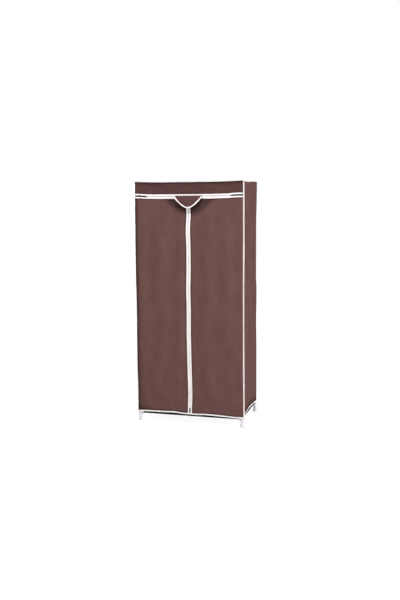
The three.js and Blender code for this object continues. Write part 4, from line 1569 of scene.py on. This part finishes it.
@dataclass
class ZipHalf:
    """One edge of a zip: a woven tape, rows of nylon coil along it and stops at their ends."""

    shop: Workshop
    depth: float = SIZES.front + SIZES.tape_depth
    thickness: float = 0.0006
    eased: float = 0.0004
    tooth_offset: float = 0.0014
    step: float = 0.012
    stop_near: float = 0.0003
    stop_far: float = 0.0044
    stop_half_depth: float = 0.0019
    stop_edge: float = 0.0008
    stop_angle: float = 60

    def band(self, path: EdgePath) -> Mesh:
        """Lays the woven tape along a path with its edge towards the zip."""
        half, eased, width = self.thickness / 2, self.eased, SIZES.tape_width
        face = [(0, 0.6 * half), (eased, half), (width, half)]
        section = np.array([(0, -0.6 * half), *face, (width, -half), (eased, -half)])
        stations, directions, walked = path.frames()
        rings = swept(stations, section, directions, path.outward)
        return strip_mesh(DRAPE.hang(rings), walked, section)

    def row(self, start: Point, end: Point) -> Line:
        """The line of the coil's loops between two points."""
        steps = max(2, round(float(np.linalg.norm(np.subtract(end, start))) / self.step))
        return DRAPE.hang(np.linspace(start, end, steps)), (0.0, -1.0, 0.0)

    def stop(self, across: Pair, up: Pair) -> Mesh:
        """A small moulded stop with rounded edges, from place to place across and up."""
        centre = Vector((sum(across) / 2, self.depth, sum(up) / 2))
        spans = [abs(end - start) for start, end in (across, up)]
        size = Vector((spans[0], 2 * self.stop_half_depth, spans[1]))
        mesh = soft_block(centre, size, self.stop_edge, 3)
        mark_edges(mesh, self.stop_angle)
        return mesh

    def pieces(
        self,
        label: str,
        paths: Sequence[EdgePath],
        rows: Sequence[Line],
        stops: Sequence[Mesh],
        body: str = FRAME_BODY,
    ) -> list[Object]:
        """Makes the pieces of the zip's edge.

        Args:
            label: The first words of their names.
            paths: The tape's edges.
            rows: The lines of the coil's loops.
            stops: The stops.
            body: The body that they ride on.

        Returns:
            The tape, the coil and the stops.
        """
        band = joined_mesh([self.band(path) for path in paths])
        coil = self.shop.beads(COIL_LOOP, Finish.COIL, rows)
        piece, node = self.shop.piece, f"{label}_zip_tape"
        return [
            piece(f"{label}_zip_band", band, Finish.ZIP_TAPE, [node], body),
            piece(f"{label}_zip_coil", coil, Finish.COIL, body=body),
            piece(f"{label}_zip_stops", joined_mesh(stops), Finish.STOP, body=body),
        ]


@dataclass
class HeaderZip:
    """The upper half of the cross zip, sewn behind the header's bound edge."""

    shop: Workshop

    def build(self) -> None:
        """Makes the tape, the coil and the two end stops."""
        half = ZipHalf(self.shop)
        end = SIZES.cross_zip_end
        far = end + SIZES.stop_length
        edge = SIZES.zip_height + SIZES.tape_inset
        teeth = SIZES.zip_height + half.tooth_offset
        path = EdgePath(((-far, half.depth, edge), (far, half.depth, edge)))
        row = half.row((-end, half.depth, teeth), (end, half.depth, teeth))
        up = (SIZES.zip_height + half.stop_near, SIZES.zip_height + half.stop_far)
        stops = [half.stop((sign * end, sign * far), up) for sign in (-1, 1)]
        half.pieces("header", [path], [row], stops)


@dataclass
class Door:
    """One cloth door with its bound edges and its halves of the zips."""

    shop: Workshop
    side: Side
    inner: float = SIZES.zip_half_gap + SIZES.raw_inset
    low: float = SIZES.hem + SIZES.raw_inset
    width: float = SIZES.half_width - SIZES.zip_half_gap - SIZES.raw_inset
    height: float = SIZES.door_top - SIZES.hem - 2 * SIZES.raw_inset
    bend: float = 0.034
    coil_start: float = 0.006
    coil_drop: float = 0.004
    edge_end: float = 0.0012
    tail_end: float = 0.0006
    allowance: float = 0.006
    fold_lean: float = 0.35
    flat_beside_zip: Pair = (0.013, 0.05)
    flat_at_hem: Pair = (0.014, 0.10)
    flat_at_top: Pair = (0.013, 0.06)
    zip_seam: DoubleStrip = DoubleStrip(0.4, 0.014, 0.022)
    # Under the top binding: cloth lying double, and the painted shadow of the band above
    top_seam: DoubleStrip = DoubleStrip(0.6, 0.010, 0.018)
    hem_seam: DoubleStrip = DoubleStrip(1.0, 0.011, 0.019)
    # Left door only: painted shade along the hinge edge, over the seam allowance lying double,
    # widening towards the hem
    hinge_seam: DoubleStrip = DoubleStrip(0.55, 0.004, 0.026)
    hinge_shade: DoubleStrip = DoubleStrip(0.28, 0.2, 1)
    hinge_reach: float = 0.035
    hinge_spread: DoubleStrip = DoubleStrip(0.04, 0.1, 0.5)
    # Painted shade in the left door's lower corner by the hinge
    hem_corner: DoubleStrip = DoubleStrip(0.45, 0.02, 0.05)
    hem_corner_fade: Pair = (0.07, 0.15)
    # Painted shadow of the flap on the door round the top of the zip; facings gives its reach
    # across and down for each door
    facing: DoubleStrip = DoubleStrip(0.78, 0.68, 1.08)
    facing_curve: float = 1.7
    facings: dict[Side, Pair] = field(
        default_factory=lambda: {Side.LEFT: (0.185, 0.137), Side.RIGHT: (0.210, 0.147)}
    )
    left_creases: tuple[Crease, ...] = (
        Crease((0.06, 1.36), (0.20, 0.98), 0.045, 0.0016),
        Crease((0.30, 1.30), (0.24, 0.86), 0.035, -0.0018),
        Crease((0.10, 0.80), (0.25, 0.42), 0.040, -0.0018),
        Crease((0.32, 0.62), (0.22, 0.20), 0.030, 0.0016),
        Crease((0.05, 0.34), (0.17, 0.05), 0.024, -0.0014),
    )
    right_creases: tuple[Crease, ...] = (
        Crease((0.05, 1.33), (0.13, 0.95), 0.035, -0.0016),
        Crease((0.30, 1.38), (0.22, 1.00), 0.040, 0.0016),
        Crease((0.10, 0.86), (0.22, 0.50), 0.045, 0.0018),
        Crease((0.31, 0.58), (0.20, 0.22), 0.030, -0.0018),
        Crease((0.06, 0.26), (0.20, 0.05), 0.026, 0.0014),
    )

    @property
    def label(self) -> str:
        """The first words of the door's names."""
        return f"{self.side.label}_door"

    @property
    def left(self) -> bool:
        """Whether this is the left door."""
        return self.side is Side.LEFT

    def ordered(self, points: Sequence[Point]) -> EdgePath:
        """A path through points, walked so that the cloth lies on its right side."""
        return EdgePath(tuple(points[::-1] if self.left else points))

    def hinge(self, *pieces: Object) -> None:
        """Bakes each piece's place into its mesh; the line along the corner seam that it works out
        is not used.
        """
        x = self.side.value * SIZES.half_width
        start, end = (
            (place, SIZES.front, SIZES.height / 2) for place in (x, x - self.side.value * self.bend)
        )
        for piece in pieces:
            f"{self.label}_panel"
            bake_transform(piece)
            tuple(start)
            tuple(end)

    def folds(self, across: Array, up: Array) -> Array:
        """How far the door's cloth stands out, flat where it is bound."""
        creases = self.left_creases if self.left else self.right_creases
        folds = Folds(
            self.width,
            self.height,
            rest=0.0035,
            swing=0.0030,
            count=2.5,
            lean=self.side.value * self.fold_lean,
            slack=0.0008,
            slack_length=0.24,
            creases=creases,
        )
        from_zip = self.width - across if self.left else across
        level = smooth_step(from_zip, *self.flat_beside_zip)
        level = level * smooth_step(up, *self.flat_at_hem)
        level = level * smooth_step(self.height - up, *self.flat_at_top)
        return level * folds.lift(across, up)

    def doubled(self, across: Array, up: Array) -> Array:
        """Where the door shows darker: cloth lying double at its seams and hem, painted shade along
        the left hinge, in its lower corner and under the band, and the flap's painted shadow.
        """
        from_hinge = across if self.left else self.width - across
        lying = self.zip_seam.shade(self.width - from_hinge)
        lying = lying + self.top_seam.shade(self.height - up) + self.hem_seam.shade(up)
        # Painted shade along the left door's hinge edge and in its lower corner
        if self.left:
            reach = self.hinge_reach + self.hinge_spread.shade(up)
            lying = lying + self.hinge_seam.shade(from_hinge)
            lying = lying + self.hinge_shade.shade(from_hinge / reach)
            corner = fade(from_hinge, *self.hem_corner_fade)
            lying = lying + self.hem_corner.shade(up) * corner
        # The flap's painted shadow, fading away from the top of the zip
        reach, drop = self.facings[self.side]
        beside = ((self.inner + self.width - from_hinge) / reach) ** self.facing_curve
        below = (SIZES.header_low - self.low - up) / drop
        return np.clip(lying + self.facing.shade(beside + below), 0, 1)

    def cloth(self) -> Object:
        """Makes the door's panel."""
        panel = Panel(
            origin=(-SIZES.half_width if self.left else self.inner, SIZES.front, self.low),
            across=(1, 0, 0),
            width=self.width,
            height=self.height,
            folds=self.folds,
            columns=96,
            rows=260,
            doubled=self.doubled,
        )
        name = f"{self.label}_cloth"
        made = self.shop.piece(name, panel.mesh(), Finish.BROWN, [self.label], body=None)
        self.hinge(made)
        return made

    def bindings(self) -> list[Object]:
        """Makes the binding along the top, down the zip and along the hem, with its stitches."""
        hinge = SIZES.half_width - self.edge_end
        free, top, hem = SIZES.zip_half_gap, SIZES.door_top, SIZES.hem
        corners = [
            (self.side.value * x, SIZES.front, z)
            for x, z in ((hinge, top), (free, top), (free, hem), (hinge, hem))
        ]
        tape, paths = FoldedTape(SIZES.binding), [self.ordered(corners)]
        bound = tape.bind(self.shop, self.label, paths, f"{self.label}_binding", body=None)
        self.hinge(*bound)
        return bound

    def zip_halves(self) -> list[Object]:
        """Makes the door's tape with its two rows of coil and their stops."""
        half = ZipHalf(self.shop)
        sign = self.side.value
        inset, slit = SIZES.tape_inset, SIZES.slit_half_width
        end, low = SIZES.cross_zip_end, SIZES.centre_zip_end - SIZES.stop_length
        far, top = end + SIZES.stop_length, SIZES.zip_height - inset

        def place(x: float, z: float) -> Point:
            """A point of the tape, from its distance to the centre zip and its height."""
            return sign * x, half.depth, z

        corners = [
            place(far, top),
            place(inset, top),
            place(inset, SIZES.slit_top),
            place(slit, SIZES.centre_zip_end),
            place(slit, low),
        ]
        tail = [place(inset, SIZES.hem + height) for height in (SIZES.tail_height, self.tail_end)]
        teeth = half.tooth_offset
        level = SIZES.zip_height - teeth
        shift = 0.0 if self.left else COIL_LOOP.spacing / 2
        start = SIZES.door_top - self.coil_drop - shift
        rows = [
            half.row(place(self.coil_start, level), place(end, level)),
            half.row(place(teeth, start), place(teeth, SIZES.coil_end)),
        ]
        near, wide = half.stop_near, half.stop_far
        stops = [
            half.stop((sign * end, sign * far), (SIZES.zip_height - wide, SIZES.zip_height - near)),
            half.stop((sign * near, sign * wide), (low, SIZES.centre_zip_end)),
        ]
        paths = [self.ordered(corners), self.ordered(tail)]
        return half.pieces(self.label, paths, rows, stops, f"{self.label}_panel")

    def build(self) -> None:
        """Makes the door's cloth, its bindings and its zip halves."""
        cloth = self.cloth()
        going = self.bindings() + self.zip_halves()
        f"{self.side.label}_corner_seam_tape"


@dataclass
class Flap:
    """The rounded flap that hangs over the meeting point of the zips."""

    shop: Workshop
    tape: FoldedTape = FoldedTape(0.008, stitch_inset=0.0015)
    half_width: float = 0.095
    drop: float = 0.080
    corner_drop: float = 0.008
    curve: float = 1.7
    stand_off: float = 0.024
    stand_off_reach: float = 0.009
    wave: float = 0.0012
    wave_count: float = 1.3
    wave_start: float = 0.15
    columns: int = 61
    rows: int = 41
    crowding: float = 1.3
    stations: int = 91
    centre: float = 0.004
    top: float = SIZES.header_low
    root: float = SIZES.front - 0.0014
    start: float = 0.0002
    tape_start: float = 0.0015
    step_across: float = 0.004
    step_down: float = 0.0004
    shade: float = 0.35
    turned_in: float = 0.006
    area: float = 0.0129

    def edge_drop(self, across: Array) -> Array:
        """How far the curved edge lies below the sewn one, for places from -1 to 1."""
        middle = self.drop - self.corner_drop
        return self.corner_drop + middle * (1 - np.abs(across) ** self.curve)

    def place(self, across: Array, drop: Array) -> Array:
        """Points of the flap's face."""
        out = self.stand_off * (1 - np.exp(-drop / self.stand_off_reach))
        ease = np.clip(drop / self.drop, 0, 1)
        out = out + self.wave * ease * np.cos(TURN * (self.wave_count * across + self.wave_start))
        x = self.centre + across * self.half_width
        return np.stack([x, self.root - out, self.top - drop], axis=-1)

    def inward(self, across: Array) -> Array:
        """The unit direction from the curved edge into the flap, as steps across and down."""
        step = self.step_across
        rise = self.edge_drop(across + step) - self.edge_drop(across - step)
        slope = rise / (2 * step * self.half_width)
        direction = np.stack([slope, -np.ones_like(across)], axis=-1)
        return direction / np.linalg.norm(direction, axis=-1, keepdims=True)

    def cloth(self) -> Mesh:
        """The flap's cloth, which ends inside its folded binding."""
        across = -np.cos(np.pi * np.linspace(0, 1, self.columns))
        rows = 1 - (1 - np.linspace(0, 1, self.rows)) ** self.crowding
        lowest = self.edge_drop(across) + SIZES.raw_inset / self.inward(across)[:, 1]
        drop = self.start + (lowest[None, :] - self.start) * (1 - rows[:, None])
        spread = np.broadcast_to(across[None, :], drop.shape)
        flat = np.stack([spread * self.half_width, -drop], axis=2)
        return cloth_mesh(self.place(spread, drop), flat, np.full(drop.shape, self.shade))

    def edge_rings(self, section: Array) -> tuple[Array, Array]:
        """Sweeps a cross-section along the curved edge.

        Args:
            section: How far into the flap, and how far out from its face.

        Returns:
            The rings, and the distance walked along the edge.
        """
        across = -np.cos(np.pi * np.linspace(0, 1, self.stations))
        drop = self.edge_drop(across)
        inward = self.inward(across)
        reach = section[None, :, 0]
        spread = across[:, None] + inward[:, :1] * reach / self.half_width
        deep = np.maximum(drop[:, None] + inward[:, 1:] * reach, self.tape_start)
        face = self.place(spread, deep)
        behind = self.place(spread, deep + self.step_down)
        beside = self.place(spread + self.step_across, deep)
        normal = np.cross(beside - face, behind - face)
        normal /= np.linalg.norm(normal, axis=2, keepdims=True)
        normal *= -np.sign(normal[..., 1:2])
        return face + section[None, :, 1:] * normal, walked_along(face[:, 0])

    def build(self) -> None:
        """Makes the flap, its binding and its stitches."""
        section = self.tape.section()
        tape = strip_mesh(*self.edge_rings(section), section)
        sewn, _ = self.edge_rings(self.tape.stitch_places())
        facings = ((0.0, -1.0, 0.0), (0.0, 1.0, 0.0))
        lines = [(sewn[1:-1, number], facing) for number, facing in enumerate(facings)]
        stitches = self.shop.beads(FLAP_STITCH, Finish.THREAD, lines)
        piece, body = self.shop.piece, "flap"
        cloth = piece("flap_cloth", self.cloth(), Finish.BROWN, ["zip_flap"], body)
        going = [
            piece("flap_edge_tape", tape, Finish.TAPE, ["zip_flap_binding"], body),
            piece("flap_stitches", stitches, Finish.THREAD, body=body),
        ]


# Frame


@dataclass
class TubeFrame:
    """The enamelled tubes, each laid where the frame's own tube is."""

    shop: Workshop
    radius: float = 0.008
    wall: float = 0.0008
    words: tuple[str, ...] = (
        "upright",
        "rail_front",
        "rail_rear",
        "rail_left",
        "rail_right",
        "hanging_rail",
    )

    def tube(self, node: str) -> None:
        """Makes one tube in place of its CAD node."""
        low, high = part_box(node)
        span = high - low
        axis = max(range(3), key=lambda number: span[number])
        direction = Vector([float(number == axis) for number in range(3)])
        values = {
            "Length": span[axis],
            "Radius": self.radius,
            "Wall": self.wall,
            "Finish": self.shop.materials[Finish.TUBE],
        }
        mesh = self.shop.tube_run.run(path_mesh(np.zeros((1, 3))), values)
        mesh.transform(facing_matrix((low + high) / 2, direction))
        mark_edges(mesh, TUBE_ANGLE)
        self.shop.piece(f"{node}_tube", mesh, Finish.TUBE, [node])

    def build(self) -> None:
        """Makes every tube."""
        for node in sorted(frame["nodes"]):
            if any(word in node for word in self.words):
                self.tube(node)


@dataclass
class Connectors:
    """The moulded feet, corners, middle joints and rail clips."""

    shop: Workshop
    socket: float = 0.011
    collar: float = 0.012
    collar_width: float = 0.003
    lip: float = 0.0005
    bore: float = 0.0083
    bore_past: float = 0.004
    seat: float = 0.013
    reach: float = 0.040
    foot_reach: float = 0.0205
    leg: float = 0.0122
    leg_shift: float = 0.0065
    pad: float = 0.0131
    pad_height: float = 0.006
    pad_edge: float = 0.0015
    web: float = 0.005
    web_foot: float = 0.027
    web_short: float = 0.001
    web_back: float = -0.0007
    web_steps: int = 12
    core_steps: int = 13
    overlap: float = 0.0006
    rail_height: float = 0.062
    mid_height: float = 0.830
    rail_drop: float = 0.026
    clip_half: float = 0.012
    clip_web: float = 0.005
    clip_reach: float = 0.030
    clip_seat: float = 0.0055
    clip_edge: float = 0.0006
    clip_drop: float = 0.004
    clip_past: float = 0.005
    sides: int = 36
    post_x: float = field(init=False)
    post_y: float = field(init=False)
    top_height: float = field(init=False)

    def __post_init__(self) -> None:
        """Reads where the frame's posts and top rails stand."""
        low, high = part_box("lower_upright_front_right")
        self.post_x, self.post_y = (low.x + high.x) / 2, -(low.y + high.y) / 2
        low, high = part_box("top_rail_front")
        self.top_height = (low.z + high.z) / 2

    def turned(self, profile: Sequence[Pair], direction: Vector, place: Vector) -> Mesh:
        """A round solid about a direction.

        Args:
            profile: Radius and distance along the direction, from the near end to the far one.
            direction: The way that it points.
            place: Where it starts.

        Returns:
            The closed mesh.
        """
        turns = TURN * np.arange(self.sides) / self.sides
        x, y = np.cos(turns), np.sin(turns)
        rings = [
            np.stack([radius * x, radius * y, np.full(self.sides, height)], axis=1)
            for radius, height in profile
        ]
        mesh = mesh_of(np.array(rings), ring_faces(len(rings), self.sides))
        mesh.transform(facing_matrix(place, direction))
        return mesh

    def socket_profile(self, reach: float) -> list[Pair]:
        """The outside of a socket with a rounded collar at its mouth."""
        lip, collar = self.lip, self.collar
        start = reach - self.collar_width
        return [
            (self.socket, 0),
            (self.socket, start - lip),
            (collar - lip, start),
            (collar, start + lip),
            (collar, reach - lip),
            (collar - lip, reach),
        ]

    def leg_profile(self) -> list[Pair]:
        """The outside of a foot's leg and its round pad, down to the floor."""
        leg, pad, edge, height = self.leg, self.pad, self.pad_edge, self.rail_height
        top = height - self.pad_height
        return [
            (leg - 0.001, -0.0014),
            (leg, -0.0004),
            (leg, top - edge),
            (pad - 0.0004, top),
            (pad, top + 0.0006),
            (pad, height - edge),
            (pad - 0.0005, height - 0.0004),
            (pad - edge, height),
        ]

    def core(self, place: Vector) -> Mesh:
        """The rounded middle that the sockets grow from."""
        count = self.core_steps
        steps = [math.pi * (number / count - 0.5) for number in range(1, count)]
        profile = [(self.collar * math.cos(step), self.collar * math.sin(step)) for step in steps]
        return self.turned(profile, UP, place)

    def gusset(self, place: Vector, direction: Vector) -> Mesh:
        """The web under a foot's arm, sweeping down to the leg in a hollow curve."""
        end, low = self.foot_reach - self.web_short, -self.collar
        foot = self.web_foot - self.rail_height
        near = self.leg - abs(direction.x) * self.leg_shift - self.overlap
        curve = [(near, foot)]
        for number in range(1, self.web_steps):
            t = number / self.web_steps
            x = (1 - t * t) * near + t * t * end
            curve.append((x, (1 - t) ** 2 * foot + t * (2 - t) * low))
        top, back = -self.bore - self.overlap, self.web_back
        outline = [(back, top), (back, foot - 0.0003), *curve, (end, low - 0.0002), (end, top)]
        half = self.web / 2
        points = np.array([[(x, y, z) for x, z in outline] for y in (-half, half)])
        mesh = mesh_of(points, ring_faces(2, len(outline)))
        turn = Matrix.Rotation(math.atan2(direction.y, direction.x), 4, "Z")
        mesh.transform(Matrix.Translation(place) @ turn)
        mark_edges(mesh, WEB_ANGLE, mend=True)
        return mesh

    def carved(self, node: str, solids: list[Mesh], bores: list[Mesh]) -> None:
        """Joins solids into one, cuts the bores out of it and makes it a piece.

        Args:
            node: The CAD node that it stands for.
            solids: The meshes to join.
            bores: The meshes to cut out.
        """
        base = link_object(node, solids[0])
        trays = []
        for meshes, operation in ((solids[1:], "UNION"), (bores, "DIFFERENCE")):
            tray = bpy.data.collections.new(operation)
            bpy.context.scene.collection.children.link(tray)
            trays.append(tray)
            for mesh in meshes:
                tray.objects.link(bpy.data.objects.new("helper", mesh))
            cut = base.modifiers.new("cut", "BOOLEAN")
            cut.operation = operation
            cut.solver = "EXACT"
            cut.operand_type = "COLLECTION"
            cut.collection = tray
        mesh = evaluated_mesh(base)
        for tray in trays:
            for helper in list(tray.objects):
                bpy.data.objects.remove(helper)
            bpy.data.collections.remove(tray)
        mark_edges(mesh, MOULD_ANGLE)
        self.shop.piece(f"{node}_moulding", mesh, Finish.PLASTIC, [node])

    def connector(
        self, node: str, place: Vector, sockets: Sequence[tuple[Vector, float]], foot: bool = False
    ) -> None:
        """Makes one connector in place of its CAD node.

        Args:
            node: The CAD node.
            place: Where its tubes would meet.
            sockets: The direction and reach of each socket.
            foot: Whether it also has a leg, a pad and webs.
        """
        solids = [self.core(place)]
        solids += [self.turned(self.socket_profile(reach), way, place) for way, reach in sockets]
        bores = [
            self.turned([(self.bore, self.seat), (self.bore, reach + self.bore_past)], way, place)
            for way, reach in sockets
        ]
        if foot:
            outward = Vector((math.copysign(self.leg_shift, place.x), 0, 0))
            solids.append(self.turned(self.leg_profile(), -UP, place + outward))
            solids += [self.gusset(place, way) for way, _ in sockets if abs(way.z) < 0.5]
        self.carved(node, solids, bores)

    def saddle(self, side: Side) -> None:
        """Makes the clip that hangs on a top side rail and holds the hanging rail."""
        rail = Vector((side.value * self.post_x, 0, self.top_height))
        hung = rail - self.rail_drop * UP
        along, inward = Vector((0, 1, 0)), Vector((-side.value, 0, 0))
        half, web, edge, seat = self.clip_half, self.clip_web, self.clip_edge, self.clip_seat
        barrel = [
            (self.socket - edge, 0),
            (self.socket, edge),
            (self.socket, 2 * half - edge),
            (self.socket - edge, 2 * half),
        ]
        middle = rail - (self.rail_drop / 2 + self.clip_drop) * UP
        size = Vector((2 * web, 2 * half, self.rail_drop - self.bore))
        socket = self.socket_profile(self.clip_reach + seat)
        solids = [
            self.turned(barrel, along, rail - half * along),
            self.turned(socket, inward, hung - seat * inward),
            soft_block(middle, size, edge, 2),
        ]
        through, depth = 2 * (half + self.clip_past), self.clip_reach
        bores = [
            self.turned([(self.bore, 0), (self.bore, through)], along, rail - through / 2 * along),
            self.turned([(self.bore, 0), (self.bore, depth)], inward, hung + web * inward),
        ]
        self.carved(f"rail_saddle_{side.label}", solids, bores)

    def build(self) -> None:
        """Makes every connector."""
        reach, arm = self.reach, self.foot_reach
        for end in End:
            for side in Side:
                corner = f"{end.label}_{side.label}"
                x, y = side.value * self.post_x, end.value * self.post_y
                along_x, along_y = Vector((-side.value, 0, 0)), Vector((0, -end.value, 0))
                foot = [(UP, reach), (along_x, arm), (along_y, arm)]
                place = Vector((x, y, self.rail_height))
                self.connector(f"foot_connector_{corner}", place, foot, True)
                middle = [(UP, reach), (-UP, reach), (along_y, reach)]
                if end is End.REAR:
                    middle.append((along_x, reach))
                place = Vector((x, y, self.mid_height))
                self.connector(f"mid_connector_{corner}", place, middle)
                top = [(-UP, reach), (along_x, reach), (along_y, reach)]
                place = Vector((x, y, self.top_height))
                self.connector(f"top_connector_{corner}", place, top)
        for side in Side:
            self.saddle(side)


@dataclass
class BaseCloth:
    """The black cloth stretched between the bottom rails, with a sleeve round each."""

    shop: Workshop
    half_width: float = 0.3257
    rail_y: float = 0.203809
    rail_z: float = 0.062
    sleeve: float = 0.0089
    round_share: float = 0.98
    thickness: float = 0.0010
    sag: float = 0.0022
    slack: float = 0.0005
    slack_length: float = 0.13
    slack_reach: float = 0.15
    round_points: int = 28
    level_points: int = 34
    columns: int = 70

    def profile(self) -> Array:
        """The cloth's middle line from one sleeve's end to the other's, seen from the side."""
        turns = self.round_share * TURN * np.linspace(0, 1, self.round_points)
        front, rear = (
            np.stack([y + self.sleeve * np.cos(a), self.rail_z + self.sleeve * np.sin(a)], axis=1)
            for y, a in ((-self.rail_y, np.pi / 2 + turns[::-1]), (self.rail_y, np.pi / 2 - turns))
        )
        shares = np.linspace(0, 1, self.level_points)[1:-1]
        hollow = self.sag * np.sin(np.pi * shares) ** 2
        level = self.rail_z + self.sleeve - hollow
        between = np.stack([self.rail_y * (2 * shares - 1), level], axis=1)
        return np.concatenate([front, between, rear])

    def mesh(self) -> Mesh:
        """The stretched cloth as a closed sheet."""
        profile = self.profile()
        steps = np.gradient(profile, axis=0)
        normal = np.stack([-steps[:, 1], steps[:, 0]], axis=1)
        normal /= np.linalg.norm(normal, axis=1, keepdims=True)
        y, z = (profile + normal * self.thickness / 2).T[..., None]
        x = np.linspace(-self.half_width, self.half_width, self.columns)[None]
        near_middle = np.exp(-((profile[:, :1] / self.slack_reach) ** 2))
        slack = self.slack * np.sin(TURN * x / self.slack_length) * near_middle
        face = np.stack(np.broadcast_arrays(x, y, z + slack), axis=2)
        flat = np.stack(np.broadcast_arrays(x, walked_along(profile)[:, None]), axis=2)
        return cloth_mesh(face, flat)

    def build(self) -> None:
        """Makes the base cloth."""
        made = self.shop.piece("base_cloth", self.mesh(), Finish.BLACK, ["bottom_shelf"])


@dataclass
class ZipHardware:
    """The sliders and pulls, which keep their CAD shape and get their enamel."""

    shop: Workshop

    def build(self) -> None:
        """Dresses the three sliders and their pulls."""
        for place in ("left", "right", "centre"):
            for node in (f"zip_slider_{place}", f"zip_pull_{place}"):
                piece = frame["nodes"][node]
                piece.data.materials.clear()
                piece.data.materials.append(self.shop.materials[Finish.ENAMEL])
                log.info("%s: dressed", node)


# Studio


@dataclass(frozen=True)
class Lamp:
    """A square soft light: where it hangs, what it faces, its width and its power in watts."""

    name: str
    place: Point
    aim: Point
    size: float
    power: float

    def hang(self) -> None:
        """Hangs the light."""
        data = bpy.data.lights.new(self.name, "AREA")
        data.size = self.size
        data.energy = self.power
        lamp = bpy.data.objects.new(self.name, data)
        lamp.location = self.place
        way = Vector(self.aim) - Vector(self.place)
        lamp.rotation_euler = way.to_track_quat("-Z", "Y").to_euler()
        bpy.context.scene.collection.objects.link(lamp)


@dataclass
class Studio:
    """The pale floor, the soft lights and the camera."""

    eye: Point = (1.42986, -5.01897, 1.48052)
    yaw: float = -0.27498
    pitch: float = 0.12847
    roll: float = -0.00691
    lens: float = 46.4685
    far: float = 200.0
    floor_half: float = 40.0
    floor_tones: Pair = (0.93, 0.95)
    floor_glow: float = 1.34
    floor_glow_share: float = 0.7
    room_light: float = 0.2
    lamps: tuple[Lamp, ...] = (
        Lamp("key", (0.3, -3.2, 5.6), (0, -0.2, 1.0), 1.2, 222),
        Lamp("side", (4.0, -1.3, 2.1), (0.3, 0, 0.8), 2.2, 107),
        Lamp("fill", (-2.6, -4.4, 1.2), (0, 0, 0.6), 2.6, 14),
        Lamp("rear", (-1.5, 3.6, 2.8), (0, 0, 0.8), 2.4, 85),
    )

    def camera(self) -> None:
        """Sets the camera where the photograph was taken."""
        data = bpy.data.cameras.new("camera")
        data.sensor_fit = "AUTO"
        data.sensor_width = 36.0
        data.lens = self.lens
        data.clip_end = self.far
        level = math.cos(self.pitch)
        forward = Vector(
            (math.sin(self.yaw) * level, math.cos(self.yaw) * level, -math.sin(self.pitch))
        )
        right = Vector((math.cos(self.yaw), -math.sin(self.yaw), 0))
        up = right.cross(forward)
        turned = math.cos(self.roll) * right + math.sin(self.roll) * up
        raised = math.cos(self.roll) * up - math.sin(self.roll) * right
        placed = Matrix((turned, raised, -forward)).transposed().to_4x4()
        camera = bpy.data.objects.new("camera", data)
        camera.matrix_world = Matrix.Translation(self.eye) @ placed
        bpy.context.scene.collection.objects.link(camera)
        bpy.context.scene.camera = camera

    def floor(self) -> None:
        """Lays a white floor that keeps the wardrobe's shadow."""
        half = self.floor_half
        corners = np.array([(-half, -half, 0), (half, -half, 0), (half, half, 0), (-half, half, 0)])
        piece = link_object("floor", mesh_of(corners, [(0, 1, 2, 3)]))
        recipe = Recipe("white_floor")
        speckle = recipe.noise(recipe.object_place(), 3.0)
        tone = recipe.mix(speckle, *((level, level, level, 1.0) for level in self.floor_tones))
        recipe.dress(Base_Color=tone, Roughness=0.9, Specular_IOR_Level=0.1)
        glow = recipe.node("ShaderNodeEmission", {"Strength": self.floor_glow})
        seen = recipe.node("ShaderNodeLightPath").outputs["Is Camera Ray"]
        share = recipe.maths("MULTIPLY", seen, self.floor_glow_share)
        blend = recipe.node("ShaderNodeMixShader", {0: share, 1: recipe.surface, 2: glow})
        recipe.feed(recipe.tree.nodes["Material Output"].inputs["Surface"], blend)
        piece.data.materials.append(recipe.material)

    def world(self) -> None:
        """A white room: full white to the camera and in reflections, softer as light."""
        world = bpy.data.worlds.new("white_room")
        world.use_nodes = True
        bpy.context.scene.world = world
        room = Nodes(world.node_tree)
        path = room.node("ShaderNodeLightPath")
        clear = path.outputs["Is Camera Ray"]
        for kind in ("Is Glossy Ray", "Is Transmission Ray"):
            clear = room.maths("MAXIMUM", clear, path.outputs[kind])
        feeds = {"Value": clear, "To Min": self.room_light, "To Max": 1.0}
        background = room.tree.nodes["Background"]
        room.feed(background.inputs["Color"], (1.0, 1.0, 1.0, 1.0))
        room.feed(background.inputs["Strength"], room.node("ShaderNodeMapRange", feeds))

    def build(self) -> None:
        """Sets the whole studio."""
        bpy.context.scene.view_settings.view_transform = "Standard"
        self.camera()
        self.floor()
        self.world()
        for lamp in self.lamps:
            lamp.hang()


def main() -> None:
    """Builds the studio and every sub-assembly, in order."""
    Studio().build()
    shop = Workshop()
    for assembly in (TubeFrame, Connectors, BaseCloth, Cover, StandingSeam, HeaderZip):
        assembly(shop).build()
    for side in Side:
        Door(shop, side).build()
    Flap(shop).build()
    ZipHardware(shop).build()
    log.info("%d pieces made", len(shop.made))


if __name__ == "__main__":
    main()
